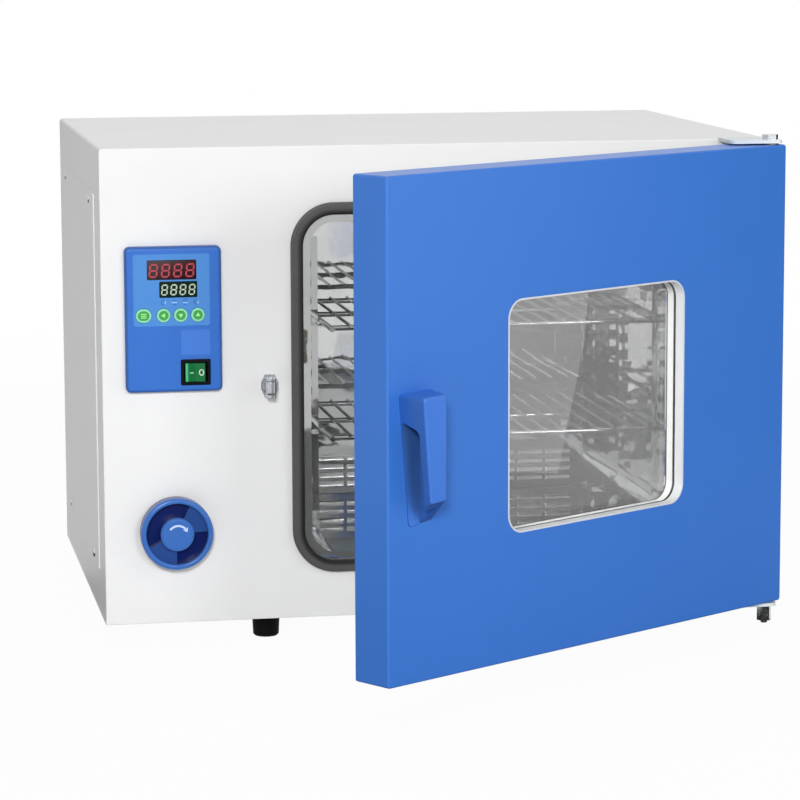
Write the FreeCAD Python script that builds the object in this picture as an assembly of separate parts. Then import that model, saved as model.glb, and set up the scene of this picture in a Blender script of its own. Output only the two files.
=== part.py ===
import FreeCAD, Part
import math
import os
from FreeCAD import Vector

# A bench drying oven with forced air. Millimetres, +Z up, +X to the right as seen from the front,
# and the front faces -Y. The origin is the centre of the cabinet's footprint on the bench.

# Cabinet
BODY_W = 625.0
BODY_D = 450.0
BODY_H = 437.0
FOOT_H = 21.0
FOOT_R = 13.0
FOOT_BORE_R = 4.0
FOOT_BORE_D = 14.0
FOOT_SPACING_X = 322.0
FOOT_INSET_Y = 28.0
SHEET = 1.5
FOLD_R = 3.0
BAY_W = 145.5
COVER_T = 1.2
COVER_FRONT = 56.0
COVER_REAR = 34.0
COVER_BOTTOM = 41.0
COVER_TOP = 45.0
VENT_W = 6.0
VENT_L = 120.0
VENT_PITCH = 14.0
REAR_SLOT_W = 5.0
REAR_SLOT_H = 46.0

# Chamber
CHAMBER_R = 22.0
CHAMBER_RIGHT = 69.5
CHAMBER_BOTTOM = 61.0
CHAMBER_TOP = 70.0
REAR_BAY = 150.0
LINER_T = 1.0
PLENUM_D = 40.0
INSULATION_D = 44.0
DIVIDER_OFFSET = 46.0
GASKET_INSET = 7.0
GASKET_W = 11.3
GASKET_R = 29.0
SLOT_PITCH = 29.1
SLOT_W = 24.7
SLOT_ROWS = (39.0, 30.0, 21.2, 12.4)
SLOT_COLUMNS = 9
LIP_R = 4.2
INTAKE_HOLE_R = 4.5
INTAKE_PITCH = 15.0

# Shelves
SHELF_FRONT = 28.0
SHELF_MID = 133.0
SHELF_BACK_GAP = 60.0
SHELF_LEVELS = (101.0, 204.0)
WIRE_PITCH = 16.0
WIRE_R = 1.5
BAR_R = 2.5
BAR_LIFT = 0.8
WIRE_OVERHANG = 4.0
SHELF_PLAY = 0.5
STRIP_W = 21.0
STRIP_T = 1.5
STRIP_HOLE = 7.0
STRIP_HOLE_PITCH = 17.2
STRIP_FRONT = 92.0
STRIP_BACK_GAP = 78.0

# Fan, heater and probe
WHEEL_R = 72.0
WHEEL_W = 24.0
WHEEL_EYE_R = 46.0
BLADE_COUNT = 20
BLADE_T = 1.2
BLADE_BOW = 4.5
SHAFT_R = 4.0
MOTOR_R = 38.0
MOTOR_L = 42.0
HEATER_R = 96.0
HEATER_TUBE_R = 4.0
PROBE_R = 2.0
HEATER_LEGS = 48.0
EXHAUST_R = 15.0
EXHAUST_OUT = 20.0
HOSE_SEAT = 60.0
EXHAUST_INSET = (45.0, 40.0)
GLAND_R = 8.0
GLAND_BORE = 4.0
GLAND_PLACE = (60.0, 45.0)
PROBE_INSET = (96.0, 52.0)

# Controls, on a column set from the cabinet's left side
COLUMN_X = 65.0
BEZEL_W = 88.0
BEZEL_H = 133.0
BEZEL_T = 8.0
BEZEL_R = 5.0
BEZEL_EDGE = 3.2
BEZEL_WALL = 2.5
BEZEL_Z = 282.0
OVERLAY_W = 69.5
OVERLAY_H = 65.3
OVERLAY_T = 0.6
KEY_R = 6.25
KEY_TRAVEL = 0.5
KEY_PITCH = 15.6
KNOB_Z = 85.2
KNOB_R = 33.2
KNOB_D = 14.0
KNOB_WELL_R = 28.2
KNOB_WELL_D = 10.5
KNOB_CAP_R = 15.25
WEB_TURNS = (2.0, 208.0)
WEB_ANGLE = 62.0
WEB_DROP = 6.0
DAMPER_SHAFT_R = 3.0
DUCT_R = 16.0
DUCT_T = 1.5
DUCT_DEPTH = 100.0
ROCKER_W = 20.6
ROCKER_H = 17.0
ROCKER_TILT = 7.0
SWITCH_W = 27.2
SWITCH_H = 23.8
SWITCH_LIP = 2.3

# Door, drawn closed and then swung open about its hinge
DOOR_LAP = 76.5
DOOR_T = 40.0
DOOR_GAP = 6.0
DOOR_RISE = 6.0
DOOR_DROP = 3.0
DOOR_R = 3.0
DOOR_SHEET = 1.5
DOOR_OPEN = 33.7
WIN_R = 16.0
WIN_U = 144.0
WIN_V = 113.3
WIN_RIGHT = 142.0
WIN_TOP = 114.7
OUTER_PANE = 31.0
INNER_PANE = 18.0
GLASS_T = 4.0
SEAL_T = 1.0
RIM = 8.0
INNER_STEP = 16.0
HINGE_INSET = 9.5
HINGE_BACK = 28.0
PIN_R = 4.0
BUSH_R = 6.0
LEAF_T = 3.0
CATCH_U = 38.0
CATCH_V = 212.0
ROLLER_R = 5.0
ROLLER_H = 12.0
HANDLE_D = 30.0

# Clearances
SEAT = 0.3
RUN = 0.06
FIT = 0.02

# Places worked out from the sizes above
LEFT = -BODY_W / 2
RIGHT = BODY_W / 2
FRONT = -BODY_D / 2
BACK = BODY_D / 2
BOTTOM = FOOT_H
TOP = FOOT_H + BODY_H
DIVIDER_X = LEFT + BAY_W
CH_RIGHT = RIGHT - CHAMBER_RIGHT
CH_LEFT = DIVIDER_X + DIVIDER_OFFSET
CHAMBER_W = CH_RIGHT - CH_LEFT
CH_X = (CH_LEFT + CH_RIGHT) / 2
CH_LOW = BOTTOM + CHAMBER_BOTTOM
CH_HIGH = TOP - CHAMBER_TOP
CH_Z = (CH_LOW + CH_HIGH) / 2
SHELF_W = CHAMBER_W - 2 * (STRIP_W + BAR_R + SHELF_PLAY)
CHAMBER_D = BODY_D - REAR_BAY
SHELF_REAR = CHAMBER_D - SHELF_BACK_GAP
STRIP_DEPTHS = (STRIP_FRONT, CHAMBER_D - STRIP_BACK_GAP)
BAFFLE_Y = FRONT + CHAMBER_D
WALL_Y = BAFFLE_Y + PLENUM_D
PACK_Y = WALL_Y + LINER_T + INSULATION_D
COL_X = LEFT + COLUMN_X
BEZ_Z = BOTTOM + BEZEL_Z
BEZ_FACE = FRONT - BEZEL_T
OVERLAY_Z = (BEZ_Z - 5.7, BEZ_Z - 5.7 + OVERLAY_H)
OVERLAY_X = (COL_X - OVERLAY_W / 2 - 1.7, COL_X + OVERLAY_W / 2 - 1.7)
KEY_Z = BEZ_Z + 4.0
KEY_X = [COL_X - 9.2 + KEY_PITCH * i for i in range(3)]
OVAL_KEY_X = KEY_X[0] - 17.6
ROCKER_X = COL_X + 19.5
ROCKER_Z = BEZ_Z - 48.5
DAMPER_Z = BOTTOM + KNOB_Z
DUCT_Y = FRONT + DUCT_DEPTH
DOOR_LEFT = CH_LEFT - DOOR_LAP
DOOR_W = RIGHT - DOOR_LEFT
DOOR_LOW = BOTTOM + DOOR_RISE
DOOR_H = BODY_H - DOOR_RISE - DOOR_DROP
WIN_W = DOOR_W - WIN_U - WIN_RIGHT
WIN_H = DOOR_H - WIN_V - WIN_TOP
DOOR_IN = FRONT - DOOR_GAP
DOOR_OUT = DOOR_IN - DOOR_T
HINGE_X = RIGHT - HINGE_INSET
HINGE_Y = DOOR_IN - HINGE_BACK
CATCH_X = DOOR_LEFT + CATCH_U
CATCH_Z = DOOR_LOW + CATCH_V
ROLLER_Y = FRONT - 13.0
EXHAUST = (CH_RIGHT - EXHAUST_INSET[0], CH_HIGH - EXHAUST_INSET[1])
GLAND = (LEFT + GLAND_PLACE[0], BOTTOM + GLAND_PLACE[1])
PROBE = (CH_RIGHT - PROBE_INSET[0], CH_HIGH - PROBE_INSET[1])
LEG_X = (CH_X - HEATER_LEGS / 2, CH_X + HEATER_LEGS / 2)
LEG_Z = CH_Z - math.sqrt(HEATER_R ** 2 - HEATER_LEGS ** 2 / 4)
ROCKER_Y = BEZ_FACE + 2.4
PLATE_Y = (PACK_Y + 2, PACK_Y + 4)
DOOR_NODES = ("door_outer_skin", "door_inner_panel", "hinge_blocks", "door_bushes", "door_insulation",
              "window_trim", "window_panes", "glass_seals", "window_frame", "inner_retainer", "door_handle",
              "latch_clip", "door_screws")

parts = {}
AXES = {"X": Vector(1, 0, 0), "Y": Vector(0, 1, 0), "Z": Vector(0, 0, 1)}


def place(along, p, q, t):
    """A point from its two profile coordinates and its distance along the given axis."""
    return {"X": Vector(t, p, q), "Y": Vector(p, t, q), "Z": Vector(p, q, t)}[along]


def rounded_wire(corners, along, t):
    """A closed outline through corners (p, q, radius), with each corner rounded by an arc."""
    points = [(p, q) for p, q, r in corners]
    edges = []
    ends = []
    for i, (p, q, r) in enumerate(corners):
        here = Vector(p, q, 0)
        before = (Vector(*points[i - 1], 0) - here).normalize()
        after = (Vector(*points[(i + 1) % len(points)], 0) - here).normalize()
        if r <= 0:
            ends.append((here, None, here))
            continue
        half = before.getAngle(after) / 2
        run = r / math.tan(half)
        middle = here + (before + after).normalize() * (r / math.sin(half) - r)
        ends.append((here + before * run, middle, here + after * run))
    for i, (start, middle, end) in enumerate(ends):
        if middle is not None:
            arc = [place(along, v.x, v.y, t) for v in (start, middle, end)]
            edges.append(Part.Arc(*arc).toShape())
        nxt = ends[(i + 1) % len(ends)][0]
        if (nxt - end).Length > 1e-6:
            edges.append(Part.makeLine(place(along, end.x, end.y, t), place(along, nxt.x, nxt.y, t)))
    return Part.Wire(edges)


def prism(corners, along, a, b):
    """The rounded outline pushed along an axis from a to b."""
    return Part.Face(rounded_wire(corners, along, a)).extrude(AXES[along] * (b - a))


def rectangle(p, q, r=0.0):
    return [(p[0], q[0], r), (p[1], q[0], r), (p[1], q[1], r), (p[0], q[1], r)]


def block(x, y, z, r=0.0, along="Y"):
    """A box with the four edges along one axis rounded."""
    span = {"X": (y, z, x), "Y": (x, z, y), "Z": (x, y, z)}[along]
    return prism(rectangle(span[0], span[1], r), along, *span[2])


def about(centre, size):
    return (centre - size / 2, centre + size / 2)


def grown(span, by):
    return (span[0] - by, span[1] + by)


def rod(along, centre, r, a, b):
    """A round bar; centre gives the two coordinates across the axis."""
    return Part.makeCylinder(r, b - a, place(along, centre[0], centre[1], a), AXES[along])


def tube(along, centre, r_out, r_in, a, b):
    return rod(along, centre, r_out, a, b).cut(rod(along, centre, r_in, a, b))


def hexagon(along, centre, across, a, b):
    r = across / 2 / math.cos(math.pi / 6)
    corners = [(centre[0] + r * math.cos(math.pi / 3 * i), centre[1] + r * math.sin(math.pi / 3 * i), 0)
               for i in range(6)]
    return prism(corners, along, a, b)


def turned(profile, along, centre):
    """A solid of revolution from corners (radius, height) about an axis."""
    points = [Vector(r, 0, h) for r, h in profile]
    face = Part.Face(Part.makePolygon(points + [points[0]]))
    solid = face.revolve(Vector(0, 0, 0), Vector(0, 0, 1), 360)
    turn = FreeCAD.Rotation(Vector(0, 0, 1), AXES[along])
    solid.Placement = FreeCAD.Placement(place(along, centre[0], centre[1], 0), turn)
    return solid


def joined(solids):
    first = solids[0]
    return first.multiFuse(solids[1:]).removeSplitter() if len(solids) > 1 else first


def without(solid, tools):
    return solid.cut(tools) if tools else solid


def group(solids):
    return Part.makeCompound(solids)


def soften(solid, r, chosen):
    """Fillets the edges that the test picks."""
    return solid.makeFillet(r, [e for e in solid.Edges if chosen(e)])


def at_level(edge, axis, level):
    """True for an edge that lies wholly in the plane axis = level."""
    box = edge.BoundBox
    low = {"X": box.XMin, "Y": box.YMin, "Z": box.ZMin}[axis]
    high = {"X": box.XMax, "Y": box.YMax, "Z": box.ZMax}[axis]
    return abs(low - level) < 1e-4 and abs(high - level) < 1e-4


def chamber_outline(by):
    """The chamber's section, grown by a margin, as corners in X and Z."""
    return rectangle(grown((CH_LEFT, CH_RIGHT), by), grown((CH_LOW, CH_HIGH), by), CHAMBER_R + by)


def window_outline(by):
    left = DOOR_LEFT + WIN_U
    low = DOOR_LOW + WIN_V
    return rectangle(grown((left, left + WIN_W), by), grown((low, low + WIN_H), by), WIN_R + by)


def window_ring(outer, inner, n_low, n_high):
    """A ring that follows the window, between two depths measured from the door's inner face."""
    a = DOOR_IN - n_high
    b = DOOR_IN - n_low
    return prism(window_outline(outer), "Y", a, b).cut(prism(window_outline(inner), "Y", a, b))


def cabinet():
    """Sheet steel shell, fascia, base, rear cover, divider, side cover, feet and screws."""
    inner_right = RIGHT - SHEET
    depth = (FRONT + SHEET, BACK - SHEET)
    outside = [(LEFT, BOTTOM, 0), (RIGHT, BOTTOM, 0), (RIGHT, TOP, FOLD_R), (LEFT, TOP, FOLD_R)]
    inside = [(LEFT + SHEET, BOTTOM, 0), (inner_right, BOTTOM, 0),
              (inner_right, TOP - SHEET, FOLD_R - SHEET), (LEFT + SHEET, TOP - SHEET, FOLD_R - SHEET)]
    parts["outer_shell"] = prism(outside, "Y", *depth).cut(prism(inside, "Y", *depth))

    fascia = prism(outside, "Y", FRONT, FRONT + SHEET)
    fascia = soften(fascia, SHEET * 0.7, lambda e: at_level(e, "Y", FRONT))
    opening = prism(chamber_outline(LINER_T + SEAT), "Y", FRONT - 1, FRONT + SHEET + 1)
    pocket = block(about(COL_X - 5, 48), (FRONT - 1, FRONT + SHEET + 1), about(BEZ_Z + 21, 44), 2)
    through = (FRONT - 1, FRONT + SHEET + 1)
    switch_hole = block(grown(about(ROCKER_X, SWITCH_W), -SWITCH_LIP + SEAT), through,
                        grown(about(ROCKER_Z, SWITCH_H), -SWITCH_LIP + SEAT), 1)
    shaft_hole = rod("Y", (COL_X, DAMPER_Z), DAMPER_SHAFT_R + 4, FRONT - 1, FRONT + SHEET + 1)
    parts["front_fascia"] = without(fascia, [opening, pocket, switch_hole, shaft_hole])

    plate = block((LEFT + SHEET, inner_right), depth, (BOTTOM, BOTTOM + SHEET))
    vents = [block(about(DIVIDER_X - 40 - VENT_PITCH * i, VENT_W), about(BACK - 200, VENT_L),
                   (BOTTOM - 1, BOTTOM + SHEET + 1), VENT_W / 2 - 0.1, "Z") for i in range(6)]
    parts["base_plate"] = without(plate, vents)

    rear = block((LEFT, RIGHT), (BACK - SHEET, BACK), (BOTTOM, TOP), FOLD_R)
    slots = [block(about(CH_X - 63 + VENT_PITCH * i, REAR_SLOT_W), (BACK - SHEET - 1, BACK + 1),
                   about(z, REAR_SLOT_H), REAR_SLOT_W / 2 - 0.1)
             for i in range(10) for z in (BOTTOM + 110, TOP - 107)]
    exhaust = rod("Y", EXHAUST, EXHAUST_R + SEAT, BACK - SHEET - 1, BACK + 1)
    gland = rod("Y", GLAND, GLAND_R, BACK - SHEET - 1, BACK + 1)
    parts["rear_cover"] = without(rear, slots + [exhaust, gland])

    divider_x = (DIVIDER_X - SHEET, DIVIDER_X)
    divider = block(divider_x, depth, (BOTTOM + SHEET, TOP - SHEET))
    duct_hole = rod("X", (DUCT_Y, DAMPER_Z), DUCT_R + DUCT_T + SEAT, *grown(divider_x, 1))
    parts["divider_panel"] = divider.cut(duct_hole)

    cover_y = (FRONT + COVER_FRONT, BACK - COVER_REAR)
    cover_z = (BOTTOM + COVER_BOTTOM, TOP - COVER_TOP)
    cover = block((LEFT - COVER_T, LEFT), cover_y, cover_z, 2, "X")
    parts["left_access_cover"] = soften(cover, COVER_T / 2, lambda e: at_level(e, "X", LEFT - COVER_T))

    screws = []
    for y in (cover_y[0] + 43, cover_y[1] - 46):
        for z in (cover_z[0] + 8, cover_z[1] - 8):
            screws.append(screw("X", (y, z), LEFT - COVER_T, -1))
    for x in grown((LEFT, RIGHT), -12):
        for z in (BOTTOM + 14, BOTTOM + BODY_H / 2, TOP - 14):
            screws.append(screw("Y", (x, z), BACK, 1))
    parts["case_screws"] = group(screws)

    feet = []
    for x in about(0, FOOT_SPACING_X):
        for y in grown((FRONT, BACK), -FOOT_INSET_Y):
            profile = [(FOOT_BORE_R, 0.0), (FOOT_R - 2.5, 0), (FOOT_R - 1, 1.5), (FOOT_R, FOOT_H),
                       (0, FOOT_H), (0, FOOT_BORE_D), (FOOT_BORE_R, FOOT_BORE_D)]
            feet.append(turned(profile, "Z", (x, y)))
    parts["feet"] = group(feet)


def screw(along, centre, face, out, r=4.0, h=1.6):
    """A low domed screw head seated on a face, with a cross recess."""
    head = turned([(0, 0), (r, 0), (r * 0.94, h * 0.5), (r * 0.6, h), (0, h)], "Z", (0, 0))
    cross = [block(about(0, r), about(0, r * 0.22), (h * 0.4, h + 1)),
             block(about(0, r * 0.22), about(0, r), (h * 0.4, h + 1))]
    head = head.cut(cross)
    turn = FreeCAD.Rotation(Vector(0, 0, 1), AXES[along] * out)
    head.Placement = FreeCAD.Placement(place(along, centre[0], centre[1], face), turn)
    return head


def liner():
    """Polished steel chamber with a turned front lip, wrapped in mineral wool."""
    tube_y = (FRONT - LINER_T, WALL_Y)
    walls = prism(chamber_outline(LINER_T), "Y", *tube_y).cut(prism(chamber_outline(0), "Y", *tube_y))
    back = prism(chamber_outline(LINER_T), "Y", WALL_Y, WALL_Y + LINER_T)
    lip = prism(chamber_outline(GASKET_INSET + GASKET_W * 0.7), "Y", FRONT - LINER_T, FRONT)
    lip = lip.cut(prism(chamber_outline(0), "Y", FRONT - LINER_T, FRONT))
    shell = joined([walls, back, lip])
    holes = [rod("Y", (CH_X, CH_Z), SHAFT_R + 3, WALL_Y - 1, WALL_Y + LINER_T + 1),
             rod("Y", EXHAUST, EXHAUST_R - 3, WALL_Y - 1, WALL_Y + LINER_T + 1),
             rod("Y", PROBE, PROBE_R + FIT, WALL_Y - 1, WALL_Y + LINER_T + 1),
             rod("X", (DUCT_Y, DAMPER_Z), DUCT_R, CH_LEFT - LINER_T - 5, CH_LEFT + CHAMBER_R)]
    holes += [rod("Y", (x, LEG_Z), HEATER_TUBE_R + SEAT, WALL_Y - 1, WALL_Y + LINER_T + 1)
              for x in LEG_X]
    parts["chamber_liner"] = without(shell, holes)

    wool = block(grown((DIVIDER_X, RIGHT - SHEET), -SEAT), (FRONT + SHEET + SEAT, PACK_Y),
                 grown((BOTTOM + SHEET, TOP - SHEET), -SEAT), FOLD_R)
    core = prism(chamber_outline(LINER_T + SEAT), "Y", FRONT, WALL_Y + LINER_T + SEAT)
    channels = [rod("Y", (CH_X, CH_Z), SHAFT_R + 6, WALL_Y, PACK_Y + 1),
                rod("Y", EXHAUST, EXHAUST_R + 5, WALL_Y, PACK_Y + 1),
                rod("Y", PROBE, PROBE_R + 5, WALL_Y, PACK_Y + 1),
                rod("X", (DUCT_Y, DAMPER_Z), DUCT_R + DUCT_T + SEAT, DIVIDER_X, CH_X)]
    channels += [rod("Y", (x, LEG_Z), HEATER_TUBE_R + 4, WALL_Y, PACK_Y + 1) for x in LEG_X]
    parts["insulation"] = without(wool, [core] + channels)

    bead_y = (DOOR_IN + SEAT, FRONT - LINER_T)
    outer = rectangle(grown((CH_LEFT, CH_RIGHT), GASKET_INSET + GASKET_W),
                      grown((CH_LOW, CH_HIGH), GASKET_INSET + GASKET_W), GASKET_R + GASKET_W)
    inner = rectangle(grown((CH_LEFT, CH_RIGHT), GASKET_INSET),
                      grown((CH_LOW, CH_HIGH), GASKET_INSET), GASKET_R)
    bead = prism(outer, "Y", *bead_y).cut(prism(inner, "Y", *bead_y))
    parts["door_gasket"] = soften(bead, 2.0, lambda e: at_level(e, "Y", bead_y[0]))


def baffle():
    """Louvred wall across the back of the chamber, with a round intake ahead of the fan."""
    tray_y = (BAFFLE_Y, WALL_Y - SEAT)
    tray = prism(chamber_outline(-SEAT), "Y", *tray_y)
    hollow = prism(chamber_outline(-SEAT - LINER_T), "Y", BAFFLE_Y + LINER_T, WALL_Y)
    tray = tray.cut(hollow)
    holes = [rod("Y", (CH_X, CH_Z), INTAKE_HOLE_R, BAFFLE_Y - 1, BAFFLE_Y + 2)]
    for ring in (1, 2, 3):
        for i in range(6 * ring):
            angle = math.pi / 3 / ring * i
            out = INTAKE_PITCH * ring
            centre = (CH_X + out * math.cos(angle), CH_Z + out * math.sin(angle))
            holes.append(rod("Y", centre, INTAKE_HOLE_R, BAFFLE_Y - 1, BAFFLE_Y + 2))
    holes.append(rod("Y", PROBE, PROBE_R + SEAT, BAFFLE_Y - 1, BAFFLE_Y + 2))
    lips = []
    for column in range(SLOT_COLUMNS):
        x = CH_X + SLOT_PITCH * (column - (SLOT_COLUMNS - 1) / 2)
        for rise in SLOT_ROWS:
            z = CH_LOW + rise
            holes.append(block(about(x, SLOT_W - 2 * LINER_T), (BAFFLE_Y - 1, BAFFLE_Y + 2),
                               (z - LIP_R, z - 0.2)))
            lips.append(louvre(x, z - LIP_R))
    parts["rear_baffle"] = joined([tray.cut(holes)] + lips)


def louvre(x, z):
    """One pressed hood over a slot: a quarter round with closed ends that opens downwards."""
    ends = about(x, SLOT_W)
    box = block(ends, (BAFFLE_Y - LIP_R, BAFFLE_Y), (z, z + LIP_R))
    hood = rod("X", (BAFFLE_Y, z), LIP_R, *ends).common(box)
    inside = grown(ends, -LINER_T)
    return hood.cut(rod("X", (BAFFLE_Y, z), LIP_R - LINER_T, *inside))


def shelf_carriers():
    """Perforated angle uprights on both walls, and the clips that hook into them."""
    strips = []
    for wall, inward in ((CH_LEFT, 1), (CH_RIGHT, -1)):
        for depth in STRIP_DEPTHS:
            y = FRONT + depth
            z = (CH_LOW + CHAMBER_R, CH_HIGH - CHAMBER_R)
            face = block(sorted((wall, wall + inward * STRIP_W)), (y, y + STRIP_T), z)
            leg = block(sorted((wall, wall + inward * STRIP_T)), (y, y + STRIP_W), z)
            count = int((z[1] - z[0] - 10) / STRIP_HOLE_PITCH)
            holes = [block(about(wall + inward * STRIP_W * 0.55, STRIP_HOLE), (y - 1, y + STRIP_T + 1),
                           about(z[0] + 12 + STRIP_HOLE_PITCH * i, STRIP_HOLE)) for i in range(count)]
            strips.append(joined([face, leg]).cut(holes))
    parts["shelf_strips"] = group(strips)

    clips = []
    for level in SHELF_LEVELS:
        z = CH_LOW + level - BAR_R - SEAT
        for wall, inward in ((CH_LEFT, 1), (CH_RIGHT, -1)):
            rail = wall + inward * (CHAMBER_W - SHELF_W) / 2
            for depth in STRIP_DEPTHS:
                y = FRONT + depth
                tongue = block(sorted((wall + inward * 4, rail + inward * 4)), (y - 14, y - 1), (z - 1.5, z))
                hook = block(sorted((wall + inward * 4, wall + inward * (STRIP_W - 3))), (y - 1.5, y),
                             (z - 12, z))
                guide = block(sorted((wall + inward * 4, wall + inward * 5.5)), (y - 14, y - 1),
                              (z - 1.5, z + 8))
                clips.append(joined([tongue, hook, guide]))
    parts["shelf_clips"] = group(clips)


def shelves():
    """Welded wire grids: round rails and bars, with thinner wires laid across them."""
    side = about(CH_X, SHELF_W)
    depth = (FRONT + SHELF_FRONT, FRONT + SHELF_REAR)
    wires = []
    for x in side:
        wires.append(rod("Y", (x, 0), BAR_R, *grown(depth, WIRE_OVERHANG)))
    for d in (SHELF_FRONT, SHELF_MID, SHELF_REAR):
        wires.append(rod("X", (FRONT + d, BAR_LIFT), BAR_R, *side))
    count = int(SHELF_W / WIRE_PITCH)
    for i in range(1, count):
        x = side[0] + SHELF_W / count * i
        wires.append(rod("Y", (x, BAR_LIFT + BAR_R), WIRE_R, *grown(depth, WIRE_OVERHANG)))
    shelf = joined(wires)
    for name, level in zip(("lower_shelf", "upper_shelf"), SHELF_LEVELS):
        parts[name] = shelf.translated(Vector(0, 0, CH_LOW + level))


def air_drive():
    """Motor on its plate behind the chamber, the shaft, and the centrifugal wheel in the plenum."""
    plate_y = PLATE_Y
    plate = block(about(CH_X, 110), plate_y, (BOTTOM + SHEET, TOP - SHEET))
    foot = block(about(CH_X, 110), (plate_y[0], plate_y[1] + 18), (BOTTOM + SHEET, BOTTOM + SHEET + 2))
    head = block(about(CH_X, 110), (plate_y[0], plate_y[1] + 18), (TOP - SHEET - 2, TOP - SHEET))
    collar = rod("Y", (CH_X, CH_Z), SHAFT_R + 5, plate_y[0] - 1, plate_y[1] + 1)
    legs = [rod("Y", (x, LEG_Z), HEATER_TUBE_R + 3, plate_y[0] - 1, plate_y[1] + 1) for x in LEG_X]
    parts["motor_plate"] = without(joined([plate, foot, head]), [collar] + legs)

    body = rod("Y", (CH_X, CH_Z), MOTOR_R, plate_y[1], plate_y[1] + MOTOR_L)
    body = soften(body, 3, lambda e: at_level(e, "Y", plate_y[1] + MOTOR_L))
    grooves = [tube("Y", (CH_X, CH_Z), MOTOR_R + 1, MOTOR_R - 1.5, y, y + 2)
               for y in [plate_y[1] + 8 + 6 * i for i in range(5)]]
    bore = rod("Y", (CH_X, CH_Z), SHAFT_R + RUN, plate_y[1] - 1, plate_y[1] + MOTOR_L - 6)
    parts["fan_motor"] = without(body, grooves + [bore])

    wheel_y = (WALL_Y - 6 - WHEEL_W, WALL_Y - 6)
    parts["fan_shaft"] = rod("Y", (CH_X, CH_Z), SHAFT_R, wheel_y[0] - 1, plate_y[1] + MOTOR_L - 7)

    disc = rod("Y", (CH_X, CH_Z), WHEEL_R, wheel_y[1] - BLADE_T, wheel_y[1])
    ring = tube("Y", (CH_X, CH_Z), WHEEL_R, WHEEL_EYE_R + 4, wheel_y[0], wheel_y[0] + BLADE_T)
    hub = rod("Y", (CH_X, CH_Z), SHAFT_R + 5, wheel_y[0] + 4, wheel_y[1])
    first = fan_blade(wheel_y)
    blades = []
    for i in range(BLADE_COUNT):
        blade = first.copy()
        blade.rotate(Vector(CH_X, 0, CH_Z), AXES["Y"], 360 / BLADE_COUNT * i)
        blades.append(blade)
    wheel = joined([disc, ring, hub] + blades)
    parts["fan_wheel"] = wheel.cut(rod("Y", (CH_X, CH_Z), SHAFT_R + FIT, wheel_y[0] - 1, wheel_y[1] + 1))


def fan_blade(wheel_y):
    """A forward curved blade: a thin arc from the eye to the rim."""
    inner = WHEEL_EYE_R + 2
    outer = WHEEL_R - 1
    mid = (inner + outer) / 2
    lead = [Vector(CH_X + inner, wheel_y[0], CH_Z), Vector(CH_X + mid, wheel_y[0], CH_Z - BLADE_BOW),
            Vector(CH_X + outer, wheel_y[0], CH_Z + BLADE_BOW / 2)]
    trail = [point + Vector(0, 0, BLADE_T) for point in lead]
    edges = [Part.Arc(*lead).toShape(), Part.makeLine(lead[2], trail[2]),
             Part.Arc(*reversed(trail)).toShape(), Part.makeLine(trail[0], lead[0])]
    return Part.Face(Part.Wire(edges)).extrude(Vector(0, wheel_y[1] - wheel_y[0] - BLADE_T / 2, 0))


def heat_and_sense():
    """Tubular heater round the wheel with two legs through the back wall, and the probe."""
    ring_y = WALL_Y - PLENUM_D * 0.45
    leg_x = sorted(LEG_X)
    angle = math.atan2(LEG_Z - CH_Z, leg_x[1] - CH_X)
    start = Vector(leg_x[1], ring_y, LEG_Z)
    end = Vector(leg_x[0], ring_y, LEG_Z)
    r = math.hypot(start.x - CH_X, start.z - CH_Z)
    arc = Part.Arc(start, Vector(CH_X, ring_y, CH_Z + r), end).toShape()
    section = Part.Wire(Part.makeCircle(HEATER_TUBE_R, start, Vector(-math.sin(angle), 0, math.cos(angle))))
    loop = Part.Wire(arc).makePipeShell([section], True, False)
    pieces = [loop]
    for x in leg_x:
        pieces.append(Part.makeSphere(HEATER_TUBE_R, Vector(x, ring_y, LEG_Z)))
        pieces.append(rod("Y", (x, LEG_Z), HEATER_TUBE_R, ring_y, PACK_Y + 8))
        pieces.append(rod("Y", (x, LEG_Z), HEATER_TUBE_R + 3, WALL_Y + LINER_T, WALL_Y + LINER_T + 3))
    parts["heating_element"] = joined(pieces)

    stem = rod("Y", PROBE, PROBE_R, BAFFLE_Y - 45, PACK_Y + 6)
    stem = soften(stem, PROBE_R * 0.9, lambda e: at_level(e, "Y", BAFFLE_Y - 45))
    nut = hexagon("Y", PROBE, 4.0 * PROBE_R, WALL_Y + LINER_T, WALL_Y + LINER_T + 4)
    parts["temperature_probe"] = joined([stem, nut])

    behind = WALL_Y + LINER_T
    mouth = BACK + EXHAUST_OUT
    profile = [(EXHAUST_R - 3, behind), (EXHAUST_R + 4, behind), (EXHAUST_R + 4, behind + 1.5),
               (EXHAUST_R, behind + 1.5), (EXHAUST_R, mouth), (EXHAUST_R - 2, mouth),
               (EXHAUST_R - 2, mouth - HOSE_SEAT), (EXHAUST_R - 3, mouth - HOSE_SEAT)]
    parts["exhaust_tube"] = turned(profile, "Y", EXHAUST)

    profile = [(GLAND_BORE, BACK - 14), (GLAND_R - SEAT, BACK - 14), (GLAND_R - SEAT, BACK),
               (GLAND_R + 3, BACK), (GLAND_R + 3, BACK + 5), (GLAND_R, BACK + 6),
               (GLAND_R - 2, BACK + 14), (GLAND_BORE, BACK + 14)]
    parts["mains_gland"] = turned(profile, "Y", GLAND)


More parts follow.
